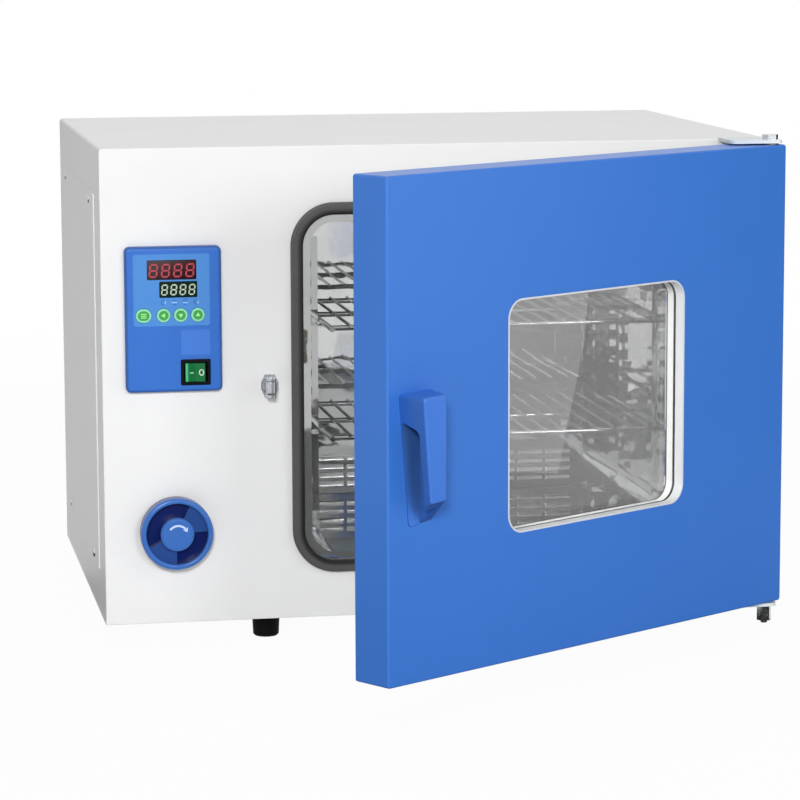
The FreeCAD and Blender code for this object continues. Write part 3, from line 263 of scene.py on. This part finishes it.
# Wire shelves
# Stainless wire, welded at each crossing and electropolished. The bright drawn wire goes dark where
# it turns away from the light.
wire_steel = polished_steel("electropolished stainless wire", "#bcbebe", "#949696", 0.1,
                            (1.0, 0.05, 1.0), 0.05)
dress(wire_steel, "lower_shelf", "upper_shelf")

# Heater, fan wheel and motor
# The heater is a steel sheathed tube, blued by heat. The wheel and the motor body are aluminium.
heater_sheath = plated_metal("heat blued steel sheath", "#8a7f78", "#5a5f74", 0.35, 3.0)
dress(heater_sheath, "heating_element")
cast_aluminium = plated_metal("cast aluminium", "#b9bbbd", "#9c9ea0", 0.45, 1.5)
dress(cast_aluminium, "fan_motor", "fan_wheel")

# Insulation
# Slabs of mineral wool cut to fit between the sheets: yellow brown, matt, with tangled fibres.
FIBRE_MM = 1.6
WOOL_LOFT = 0.001
mineral_wool, tree, place = start_finish("mineral wool")
tangle = add_node(tree, "ShaderNodeTexNoise",
                  {"Scale": per_metre(FIBRE_MM), "Detail": 8, "Distortion": 2.5}, {"Vector": place})
wool_colour = add_node(tree, "ShaderNodeMix",
                       {"data_type": "RGBA", 6: linear("#8d7c4e"), 7: linear("#d8c890")},
                       {0: tangle.outputs[0]})
wool_bump = add_node(tree, "ShaderNodeBump", {"Strength": 0.8, "Distance": WOOL_LOFT},
                     {"Height": tangle.outputs[0]})
end_finish(tree, {"Roughness": 0.95},
           {"Base Color": wool_colour.outputs[2], "Normal": wool_bump.outputs[0]})
dress(mineral_wool, "insulation", "door_insulation")

# Door gasket
# An extruded silicone bead, bonded round the chamber's mouth: a matt grey strip with painted shade
# that darkens it towards its inner edge, where the bead turns in against the liner.
def place_in(finish):
    """The place on the piece, in metres, in a finish that is already made."""
    return node_of(finish, "TEX_COORD").outputs["Object"]


def edge_depth(finish, piece, corner):
    """How far a point lies inside a piece's rounded outline seen from the front, in metres."""
    tree = finish.node_tree
    low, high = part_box(piece)
    middle = (low + high) / 2
    half = (high - low) / 2
    offset = add_node(tree, "ShaderNodeVectorMath",
                      {"operation": "SUBTRACT", 1: (middle.x, 0, middle.z)}, {0: place_in(finish)})
    folded = add_node(tree, "ShaderNodeVectorMath", {"operation": "ABSOLUTE"},
                      {0: offset.outputs[0]})
    beyond = add_node(tree, "ShaderNodeVectorMath",
                      {"operation": "SUBTRACT", 1: (half.x - corner, 9, half.z - corner)},
                      {0: folded.outputs[0]})
    kept = add_node(tree, "ShaderNodeVectorMath", {"operation": "MAXIMUM", 1: (0, 0, 0)},
                    {0: beyond.outputs[0]})
    reach = add_node(tree, "ShaderNodeVectorMath", {"operation": "LENGTH"}, {0: kept.outputs[0]})
    return add_node(tree, "ShaderNodeMath", {"operation": "SUBTRACT", 0: corner},
                    {1: reach.outputs["Value"]}).outputs[0]


GASKET_CORNER = 0.0403
GASKET_INNER_SHADE = (0.0045, 0.0095)
gasket_rubber = rubber("extruded grey silicone", "#5a5a5a", "#4c4c4c", 0.42, 1.2, 0.3)
# Painted shade: the bead's colour darkens towards its inner edge.
shade(gasket_rubber, edge_depth(gasket_rubber, "door_gasket", GASKET_CORNER), GASKET_INNER_SHADE, "#1c1c1d")
dress(gasket_rubber, "door_gasket")

# Circuit boards
# Glass fibre boards under green solder resist, with the copper tracks showing as a lighter maze.
TRACK_MM = 10
board_resist, tree, place = start_finish("green solder resist")
tracks = add_node(tree, "ShaderNodeTexBrick",
                  {"Scale": per_metre(TRACK_MM), "Mortar Size": 0.03, "Color1": linear("#12562f"),
                   "Color2": linear("#0e4a28"), "Mortar": linear("#2c8a52")}, {"Vector": place})
end_finish(tree, {"Roughness": 0.35}, {"Base Color": tracks.outputs[0]})
dress(board_resist, "control_board", "power_board")

# Door skin
# A pressed steel pan sprayed with the same powder in blue, with rolled edges that catch the light.
blue_enamel = powder_coat("baked blue powder coat", "#3c79d1", "#3875cd", 0.36, 0.35)
dress(blue_enamel, "door_outer_skin")

# Window trim, panes and spacer
# A white coated aluminium frame, two panes of clear float glass, and a white glass filled nylon
# spacer between them. The glass lets the lamps' light straight through.
trim_metal = powder_coat("white coated aluminium", "#dfe1e3", "#d6d8da", 0.28)
dress(trim_metal, "window_trim")
pane_glass, tree, place = start_finish("clear float glass")
glass = add_node(tree, "ShaderNodeBsdfPrincipled",
                 {"Base Color": linear("#fefefe"), "Roughness": 0.0, "IOR": 1.72,
                  "Transmission Weight": 1.0})
ray = add_node(tree, "ShaderNodeLightPath")
clear = add_node(tree, "ShaderNodeBsdfTransparent", {"Color": linear("#fafbfa")})
pane = add_node(tree, "ShaderNodeMixShader",
                links={0: ray.outputs["Is Shadow Ray"], 1: glass.outputs[0], 2: clear.outputs[0]})
add_node(tree, "ShaderNodeOutputMaterial", links={"Surface": pane.outputs[0]})
dress(pane_glass, "window_panes")

CLOUD_MM = 30


def moulded_plastic(name, light, dark, roughness, grain_mm, shine=0.4):
    """Injection moulded thermoplastic: even colour, a light spark texture and a soft gloss."""
    finish, tree, place = start_finish(name)
    colour = mottle(tree, place, light, dark, CLOUD_MM, 2)[0]
    grain = add_node(tree, "ShaderNodeTexNoise", {"Scale": per_metre(grain_mm), "Detail": 2},
                     {"Vector": place})
    gloss = add_node(tree, "ShaderNodeMapRange",
                     {"To Min": roughness - 0.04, "To Max": roughness + 0.06},
                     {"Value": grain.outputs[0]})
    bump = add_node(tree, "ShaderNodeBump", {"Strength": 0.08, "Distance": FINE_BUMP},
                    {"Height": grain.outputs[0]})
    end_finish(tree, {"Specular IOR Level": shine},
               {"Base Color": colour, "Roughness": gloss.outputs[0], "Normal": bump.outputs[0]})
    return finish


spacer_nylon = moulded_plastic("white glass filled nylon", "#c8c8c6", "#c0c0be", 0.5, 0.9)
dress(spacer_nylon, "window_frame")

# Door bushes
# Sintered bronze soaked with oil: dull, with a fine open grain and a little brown tarnish.
bush_bronze = plated_metal("oiled sintered bronze", "#9c8a66", "#7f6f50", 0.34, 1.2)
dress(bush_bronze, "door_bushes")

# Door handle
# One ABS moulding in the door's blue, with a satin spark texture. Its side, its underside and the
# root of its scoop are painted darker as shade, by the way each face turns and how enclosed it is.
DOOR_EDGE_WAY = (-0.832, -0.555, 0)
SIDE_SHADE_SPAN = (0.55, 0.9)
UNDER_SHADE_SPAN = (0.2, 0.6)
ROOT_SHADE_SPAN = (0.95, 0.45)
ROOT_REACH = 0.03
handle_abs = moulded_plastic("satin blue ABS", "#3f79d6", "#3b75d2", 0.36, 0.8)
# Painted shade on the side facing the door's free edge, on the underside and deep in the scoop.
shade(handle_abs, facing(handle_abs, DOOR_EDGE_WAY), SIDE_SHADE_SPAN, "#2c62b6")
shade(handle_abs, facing(handle_abs, (0, 0, -1)), UNDER_SHADE_SPAN, "#33569c")
scoop_occlusion = add_node(handle_abs.node_tree, "ShaderNodeAmbientOcclusion",
                  {"samples": 8, "only_local": True, "Distance": ROOT_REACH})
shade(handle_abs, scoop_occlusion.outputs["AO"], ROOT_SHADE_SPAN, "#3860a0")
dress(handle_abs, "door_handle")

# Control bezel
# A deep ABS cover moulded in blue, with rounded edges, a satin face and painted shade along its
# edges.
BEZEL_CORNER = 0.005
BEZEL_EDGE_SHADE = (0.0034, 0.0002)
bezel_abs = moulded_plastic("moulded blue ABS", "#3374d0", "#2f6ecc", 0.3, 0.8)
# Painted shade: a darker band runs along the bezel's rounded edges.
shade(bezel_abs, edge_depth(bezel_abs, "control_bezel", BEZEL_CORNER), BEZEL_EDGE_SHADE, "#23559f")
dress(bezel_abs, "control_bezel")

# Overlay
# A polyester film, screen printed light blue on its back and glued into the bezel's recess.
overlay_film = moulded_plastic("printed polyester film", "#4e92de", "#4a8dda", 0.28, 1.4)
dress(overlay_film, "display_overlay")

# Displays
# LED modules behind tinted acrylic windows: dark, glossy, with the seven segments just under them.
WINDOW_TONE_MM = 12


def tinted_window(name, light, dark):
    """Dark glossy acrylic with a slow drift in its tint."""
    finish, tree, place = start_finish(name)
    colour = mottle(tree, place, light, dark, WINDOW_TONE_MM, 2)[0]
    end_finish(tree, {"Roughness": 0.08, "Specular IOR Level": 1.0}, {"Base Color": colour})
    return finish


red_window = tinted_window("red tinted acrylic", "#3c0a16", "#280610")
green_window = tinted_window("green tinted acrylic", "#0c302a", "#082420")
dress(red_window, "red_display")
dress(green_window, "green_display")


def plate(name, outlines, face, coat, body, finish, bevel=0.0, lean=(0, 0)):
    """Thin raised pieces from outlines of (x, z), with every length in millimetres. The coat is how
    far they stand before the face at y = face and how thick they are. Lean is the x that the face
    turns about and its slope."""
    rise, thick = coat
    mesh = bpy.data.meshes.new(name)
    shape = bmesh.new()
    for outline in outlines:
        points = [Vector((x, face - rise + (x - lean[0]) * lean[1], z)) / 1000 for x, z in outline]
        front = [shape.verts.new(point) for point in points]
        rear = [shape.verts.new(point + Vector((0, thick / 1000, 0))) for point in points]
        shape.faces.new(front)
        shape.faces.new(list(reversed(rear)))
        for i in range(len(outline)):
            k = (i + 1) % len(outline)
            shape.faces.new([front[k], front[i], rear[i], rear[k]])
    bmesh.ops.recalc_face_normals(shape, faces=shape.faces)
    shape.to_mesh(mesh)
    shape.free()
    piece = bpy.data.objects.new(name, mesh)
    bpy.context.scene.collection.objects.link(piece)
    mesh.materials.append(finish)
    if bevel:
        rounding = piece.modifiers.new("edge", "BEVEL")
        rounding.width = bevel / 1000
        rounding.segments = 2
        rounding.limit_method = "ANGLE"
    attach(piece, body)
    return piece


DIGIT_SLANT = 0.10
DIGIT_COAT = (0.04, 0.06)
DIGIT_COUNT = 4
RED_FIRST = 5.6
RED_PITCH = 11.1
RED_DROP = 0.6
RED_SIZE = (6.4, 11.0, 1.5)
GREEN_FIRST = 4.6
GREEN_PITCH = 8.3
GREEN_DROP = 0.2
GREEN_SIZE = (4.7, 8.8, 1.25)


def segment(x, z, run, across, upright):
    """One bar of a seven segment digit as a pointed strip, leaning right as it rises."""
    tip = across / 2
    bar = [(-run / 2, 0), (-run / 2 + tip, tip), (run / 2 - tip, tip),
           (run / 2, 0), (run / 2 - tip, -tip), (-run / 2 + tip, -tip)]
    if upright:
        bar = [(q, p) for p, q in bar]
    return [(x + p + DIGIT_SLANT * (z + q), z + q) for p, q in bar]


def digit(x, z, width, height, across):
    """All seven segments of one digit about its centre."""
    half = height / 4
    bars = [segment(0, level * height / 2, width - across * 0.4, across, False)
            for level in (-1, 0, 1)]
    bars += [segment(side * width / 2, level * half, height / 2 - across * 0.4, across, True)
             for side in (-1, 1) for level in (-1, 1)]
    return [[(x + p, z + q) for p, q in bar] for bar in bars]


red_low, red_high = [1000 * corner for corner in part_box("red_display")]
green_low, green_high = [1000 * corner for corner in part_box("green_display")]
red_z = (red_low.z + red_high.z) / 2 - RED_DROP
green_z = (green_low.z + green_high.z) / 2 - GREEN_DROP
red_light = moulded_plastic("dull red segment", "#c24654", "#a83440", 0.4, 2.0)
green_light = moulded_plastic("pale green segment", "#d2dcc8", "#b4c2a8", 0.4, 2.0)
red_bars = []
green_bars = []
for i in range(DIGIT_COUNT):
    red_bars += digit(red_low.x + RED_FIRST + RED_PITCH * i, red_z, *RED_SIZE)
    green_bars += digit(green_low.x + GREEN_FIRST + GREEN_PITCH * i, green_z, *GREEN_SIZE)
plate("red_digits", red_bars, red_low.y, DIGIT_COAT, "cabinet", red_light)
plate("green_digits", green_bars, green_low.y, DIGIT_COAT, "cabinet", green_light)

# Keys
# Translucent silicone caps with a pale rim round a darker button, each printed with its mark.
key_rim = moulded_plastic("pale mint silicone", "#a2ecc4", "#86dcae", 0.35, 1.0)
key_button = moulded_plastic("green silicone", "#46ac52", "#3a9a4a", 0.32, 1.0)
key_mark = moulded_plastic("light green print", "#a6fa96", "#98f28c", 0.4, 1.0)
dress(key_rim, "left_key", "down_key", "up_key", "menu_key")
BUTTON_R = 4.4
BUTTON_COAT = (0.2, 0.3)
BUTTON_EDGE = 0.12
MARK_R = 2.5
MARK_COAT = (0.28, 0.1)
OVAL_SHIFT = 0.9
MENU_STEP = 1.7


def ring_points(x, z, rx, rz, start=0.0, turn=360.0, count=32):
    """Points along an ellipse, with its end point too where it is an arc."""
    angles = [math.radians(start + turn * i / count) for i in range(count + (turn < 360))]
    return [(x + rx * math.cos(a), z + rz * math.sin(a)) for a in angles]


def bar(x, z, width, height):
    """A plain rectangle about its centre."""
    return [(x - width / 2, z - height / 2), (x + width / 2, z - height / 2),
            (x + width / 2, z + height / 2), (x - width / 2, z + height / 2)]


for key, heading in (("left_key", 180), ("down_key", 270), ("up_key", 90)):
    low, high = [1000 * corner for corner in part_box(key)]
    x = (low.x + high.x) / 2
    z = (low.z + high.z) / 2
    button = ring_points(x, z, BUTTON_R, BUTTON_R)
    plate(key + "_button", [button], low.y, BUTTON_COAT, key, key_button,
          BUTTON_EDGE)
    arrow = ring_points(x, z, MARK_R, MARK_R, heading, 360, 3)
    plate(key + "_mark", [arrow], low.y, MARK_COAT, key, key_mark)
low, high = [1000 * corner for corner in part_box("menu_key")]
x = (low.x + high.x) / 2
z = (low.z + high.z) / 2
oval = ring_points(x + OVAL_SHIFT, z, BUTTON_R, BUTTON_R, -90, 180, 16)
oval += ring_points(x - OVAL_SHIFT, z, BUTTON_R, BUTTON_R, 90, 180, 16)
plate("menu_key_button", [oval], low.y, BUTTON_COAT, "menu_key", key_button,
      BUTTON_EDGE)
rows = [bar(x, z + step, 5.2, 0.9) for step in (-MENU_STEP, 0, MENU_STEP)]
plate("menu_key_mark", rows, low.y, MARK_COAT, "menu_key", key_mark)

# Icons over the keys
# Four small signs screen printed on the film, of bent and straight strips in dark and pale ink.
ICON_Z = 318.6
ICON_OFFSETS = (3.4, 13.4, 23.2, 33.2)
ICON_COAT = (0.03, 0.05)
dark_ink = moulded_plastic("dark blue screen ink", "#3660b0", "#2f58a6", 0.5, 1.0)
pale_ink = moulded_plastic("pale blue screen ink", "#b9dcff", "#a8d0fa", 0.5, 1.0)
film_face = 1000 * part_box("display_overlay")[0].y
first, second, third, fourth = [green_low.x + offset for offset in ICON_OFFSETS]


def arc_band(x, z, r, width, start, turn, count=14):
    """A bent strip between two arcs."""
    outer = ring_points(x, z, r + width / 2, r + width / 2, start, turn, count)
    inner = ring_points(x, z, r - width / 2, r - width / 2, start, turn, count)
    return outer + list(reversed(inner))


dark_signs = [arc_band(first, ICON_Z, 2.0, 0.7, 60, 240),
              bar(second, ICON_Z + 1.9, 3.2, 0.7), bar(second, ICON_Z - 1.9, 3.2, 0.7),
              arc_band(third, ICON_Z + 0.6, 2.0, 0.7, 20, 140), bar(third, ICON_Z - 1.9, 2.6, 0.6),
              arc_band(fourth, ICON_Z, 1.9, 0.9, 70, 220)]
pale_signs = [arc_band(first, ICON_Z, 2.0, 0.6, -50, 100),
              bar(second, ICON_Z, 4.8, 0.9), bar(third + 0.4, ICON_Z - 0.4, 4.4, 0.7),
              arc_band(fourth, ICON_Z, 1.9, 0.6, -60, 90)]
plate("dark_signs", dark_signs, film_face, ICON_COAT, "cabinet", dark_ink)
plate("pale_signs", pale_signs, film_face, ICON_COAT, "cabinet", pale_ink)

# Blank label
# A clear film label stuck on the bezel above the switch, a shade lighter than the plastic.
LABEL_X = (-241.0, -214.4)
LABEL_Z = (270.4, 293.4)
LABEL_COAT = (0.12, 0.14)
label_film = moulded_plastic("clear matt label film", "#3f7ddc", "#3b79d8", 0.42, 1.2)
bezel_face = 1000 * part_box("control_bezel")[0].y
label = [(LABEL_X[0], LABEL_Z[0]), (LABEL_X[1], LABEL_Z[0]),
         (LABEL_X[1], LABEL_Z[1]), (LABEL_X[0], LABEL_Z[1])]
plate("blank_label", [label], bezel_face, LABEL_COAT, "cabinet", label_film)

# Rocker switch
# A black nylon frame with a translucent green polycarbonate rocker, printed with a bar and a ring.
# A painted highlight lightens the green towards the rocker's raised end.
def height_in(finish, axis):
    """One coordinate of the place on the piece: 0 for x, 1 for y, 2 for z."""
    return add_node(finish.node_tree, "ShaderNodeSeparateXYZ",
                    links={0: place_in(finish)}).outputs[axis]


ROCKER_HIGHLIGHT_SPAN = (-0.2342, -0.2366)
switch_nylon = moulded_plastic("black nylon", "#050a12", "#03070c", 0.38, 0.9, 0.12)
dress(switch_nylon, "switch_frame")
rocker_green = moulded_plastic("translucent green polycarbonate", "#08763c", "#066832", 0.22, 3.0,
                               0.3)
# Painted highlight: the green turns paler towards the rocker's raised end.
shade(rocker_green, height_in(rocker_green, 0), ROCKER_HIGHLIGHT_SPAN, "#4cc888")
dress(rocker_green, "rocker")

# Damper knob
# A deep blue ABS moulding with two finger wells and a raised cap, printed with a turning arrow. The
# wells are painted darker towards their floors, as shade.
WELL_TOP = 3.0
WELL_FLOOR = 9.8
ARROW_R = 9.2
ARROW_START = 42
ARROW_COAT = (0.05, 0.08)
knob_low, knob_high = [1000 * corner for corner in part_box("damper_knob")]
knob_abs = moulded_plastic("glossy blue ABS", "#4074c4", "#3a6cbc", 0.22, 1.2, 0.35)
well_shade_span = ((knob_low.y + WELL_TOP) / 1000, (knob_low.y + WELL_FLOOR) / 1000)
# Painted shade: the colour goes dark navy with depth into the wells.
shade(knob_abs, height_in(knob_abs, 1), well_shade_span, "#041c60")
dress(knob_abs, "damper_knob", "damper_bezel")
arrow_ink = moulded_plastic("pale screen ink", "#cfe2ff", "#bcd6ff", 0.45, 1.0)
arrow_x = (knob_low.x + knob_high.x) / 2 + 0.5
arrow_z = (knob_low.z + knob_high.z) / 2 - 1.0
tip_x = arrow_x + ARROW_R * math.cos(math.radians(ARROW_START))
tip_z = arrow_z + ARROW_R * math.sin(math.radians(ARROW_START))
turn_arrow = [arc_band(arrow_x, arrow_z, ARROW_R, 1.9, ARROW_START, 100),
              [(tip_x - 2.4, tip_z - 1.0), (tip_x + 2.2, tip_z + 1.6), (tip_x + 1.6, tip_z - 3.0)]]
plate("knob_arrow", turn_arrow, knob_low.y, ARROW_COAT, "damper", arrow_ink)

# Marks on the rocker
# A bar on the half that switches on and a ring on the half that switches off, in white print that
# lies on the two slopes of the rocker's valley.
VALLEY_X = -228.56
VALLEY_Y = -235.17
ON_SLOPE = 0.0554
OFF_SLOPE = -0.309
ROCKER_Z = 254.5
RING_X = -223.2
ROCKER_COAT = (0.06, 0.08)
rocker_ink = moulded_plastic("white print", "#d8f0de", "#c8e6d0", 0.45, 1.0)
plate("rocker_bar", [bar(-232.0, ROCKER_Z - 0.4, 3.4, 0.7)], VALLEY_Y, ROCKER_COAT, "rocker",
      rocker_ink, 0.0, (VALLEY_X, ON_SLOPE))
ring_outer = ring_points(RING_X, ROCKER_Z, 2.3, 3.0)
ring_inner = ring_points(RING_X, ROCKER_Z, 1.4, 2.1)
ring_parts = [[ring_outer[i - 1], ring_outer[i], ring_inner[i], ring_inner[i - 1]]
              for i in range(len(ring_outer))]
plate("rocker_ring", ring_parts, VALLEY_Y, ROCKER_COAT, "rocker", rocker_ink, 0.0,
      (VALLEY_X, OFF_SLOPE))

# Floor and backdrop
# Seamless white paper. Rays from the camera, from reflections and through glass see plain white on
# it and in the world, and near the oven a small share of its real shade.
def seen_white(tree):
    """A factor of 1 for rays that come from the camera, from a mirror or through glass."""
    ray = add_node(tree, "ShaderNodeLightPath")
    first = add_node(tree, "ShaderNodeMath", {"operation": "MAXIMUM"},
                     {0: ray.outputs["Is Camera Ray"], 1: ray.outputs["Is Glossy Ray"]})
    both = add_node(tree, "ShaderNodeMath", {"operation": "MAXIMUM"},
                    {0: first.outputs[0], 1: ray.outputs["Is Transmission Ray"]})
    return both.outputs[0]


FLOOR_HALF = 6.0
SHADOW_SHARE = 0.045
SHADOW_END = (1.1, 2.2)
AMBIENT = 0.1
paper, tree, place = start_finish("white paper")
matt = add_node(tree, "ShaderNodeBsdfDiffuse", {"Color": linear("#f4f4f4")})
glow = add_node(tree, "ShaderNodeEmission", {"Color": linear("#ffffff"), "Strength": 1.0})
distance = add_node(tree, "ShaderNodeVectorMath", {"operation": "LENGTH"}, {0: place})
paper_share = add_node(tree, "ShaderNodeMapRange",
                       {"From Min": SHADOW_END[0], "From Max": SHADOW_END[1],
                        "To Min": 1 - SHADOW_SHARE, "To Max": 1.0},
                       {"Value": distance.outputs["Value"]})
share = add_node(tree, "ShaderNodeMath", {"operation": "MULTIPLY"},
                 {0: seen_white(tree), 1: paper_share.outputs[0]})
surface = add_node(tree, "ShaderNodeMixShader",
                   links={0: share.outputs[0], 1: matt.outputs[0], 2: glow.outputs[0]})
add_node(tree, "ShaderNodeOutputMaterial", links={"Surface": surface.outputs[0]})
floor_mesh = bpy.data.meshes.new("floor")
floor_mesh.from_pydata([(-FLOOR_HALF, -FLOOR_HALF, 0), (FLOOR_HALF, -FLOOR_HALF, 0),
                        (FLOOR_HALF, FLOOR_HALF, 0), (-FLOOR_HALF, FLOOR_HALF, 0)],
                       [], [(0, 1, 2, 3)])
floor = bpy.data.objects.new("floor", floor_mesh)
bpy.context.scene.collection.objects.link(floor)
floor_mesh.materials.append(paper)

world = bpy.data.worlds.new("studio")
bpy.context.scene.world = world
world.use_nodes = True
tree = world.node_tree
tree.nodes.clear()
strength = add_node(tree, "ShaderNodeMapRange", {"To Min": AMBIENT, "To Max": 1.0},
                    {"Value": seen_white(tree)})
sky = add_node(tree, "ShaderNodeBackground", {"Color": linear("#ffffff")},
               {"Strength": strength.outputs[0]})
add_node(tree, "ShaderNodeOutputWorld", links={"Surface": sky.outputs[0]})

# Lamps
# A soft box in front, high and to the left, a weaker and wider one to the right, and a small one
# close to the door that lifts its face. A long low one behind lights the rear without showing in
# gloss, and a large one hangs overhead.
def soft_box(name, place, target, size, watts):
    """A rectangular area lamp that looks from its place to a target."""
    lamp = bpy.data.lights.new(name, "AREA")
    lamp.shape = "RECTANGLE"
    lamp.size = size[0]
    lamp.size_y = size[1]
    lamp.energy = watts
    holder = bpy.data.objects.new(name, lamp)
    bpy.context.scene.collection.objects.link(holder)
    holder.location = place
    aim = Vector(target) - Vector(place)
    holder.rotation_euler = aim.to_track_quat("-Z", "Y").to_euler()
    return holder


soft_box("key_light", (-0.92, -3.7, 1.5), (0, 0, 0.25), (0.6, 0.6), 74)
soft_box("right_box", (0.9, -3.6, 1.1), (0, 0, 0.25), (0.8, 0.8), 24)
soft_box("door_fill", (1.3, -1.2, 0.6), (0.2, -0.35, 0.25), (0.5, 0.5), 2.2)
rear_box = soft_box("rear_box", (0.7, 3.4, 0.3), (0, 0.2, 0.25), (1.4, 0.28), 40)
rear_box.visible_camera = False
rear_box.visible_glossy = False
soft_box("top_light", (0.1, 0.4, 3.0), (0, 0.1, 0.3), (2.0, 2.0), 34)

# Flags
# Black velvet lies on the floor round the oven and stands beside and ahead of it, as round any
# polished metal in a studio. It shows only in gloss and in mirrors, the front one also through
# glass, and it takes no light from the oven.
PILE_MM = 1.0
FLAG_LIFT = 0.002
SIDE_X = 0.9
DISPLAY_Y = -1.5
FRONT_Y = -2.2
velvet, tree, place = start_finish("black velvet")
pile_colour = mottle(tree, place, "#0a0a0b", "#141416", PILE_MM, 2)[0]
end_finish(tree, {"Roughness": 1.0, "Specular IOR Level": 0.0}, {"Base Color": pile_colour})


def flag(name, corners):
    """A flat screen that only glossy rays meet."""
    mesh = bpy.data.meshes.new(name)
    mesh.from_pydata(corners, [], [tuple(range(len(corners)))])
    screen = bpy.data.objects.new(name, mesh)
    bpy.context.scene.collection.objects.link(screen)
    mesh.materials.append(velvet)
    for kind in ("camera", "diffuse", "transmission", "shadow", "volume_scatter"):
        setattr(screen, "visible_" + kind, False)
    return screen


flag("floor_flag", [(x, y, FLAG_LIFT) for x, y in (
    (-0.9, -1.16), (1.1, -1.16), (1.1, -0.24), (-0.33, -0.24), (-0.33, 0.1), (-0.9, 0.1))])
flag("side_flag", [(SIDE_X, y, z) for y, z in (
    (-0.568, 0.0), (-0.531, 0.187), (-0.50, 0.6), (0.9, 0.6), (0.9, 0.0))])
flag("display_flag", [(x, DISPLAY_Y, z) for x, z in (
    (-0.3, 0.129), (0.05, 0.291), (0.3, 0.291), (0.3, 0.02), (-0.3, 0.02))])
front_flag = flag("front_flag", [(x, FRONT_Y, z) for x, z in (
    (0.1, 0.3), (0.55, 0.3), (0.55, 0.75), (0.1, 0.75))])
front_flag.visible_transmission = True

# Camera
# Solved from the straight edges in the photograph, for a picture 800 pixels square.
CAMERA_PLACE = (-0.57052953, -3.16867957, 0.66871600)
CAMERA_LENS = 147.42351
CAMERA_SENSOR = 36
CAMERA_YAW = 0.178971877
CAMERA_PITCH = 0.148261022
CAMERA_ROLL = 0.003448638
ahead = Vector((math.sin(CAMERA_YAW) * math.cos(CAMERA_PITCH),
                math.cos(CAMERA_YAW) * math.cos(CAMERA_PITCH), -math.sin(CAMERA_PITCH)))
level = Vector((math.cos(CAMERA_YAW), -math.sin(CAMERA_YAW), 0))
down = ahead.cross(level)
right = math.cos(CAMERA_ROLL) * level + math.sin(CAMERA_ROLL) * down
below = -math.sin(CAMERA_ROLL) * level + math.cos(CAMERA_ROLL) * down
lens = bpy.data.cameras.new("camera")
lens.lens = CAMERA_LENS
lens.sensor_width = CAMERA_SENSOR
camera = bpy.data.objects.new("camera", lens)
bpy.context.scene.collection.objects.link(camera)
turn = Matrix((right, -below, -ahead)).transposed().to_4x4()
camera.matrix_world = Matrix.Translation(CAMERA_PLACE) @ turn
bpy.context.scene.camera = camera
bpy.context.scene.view_settings.view_transform = "Standard"
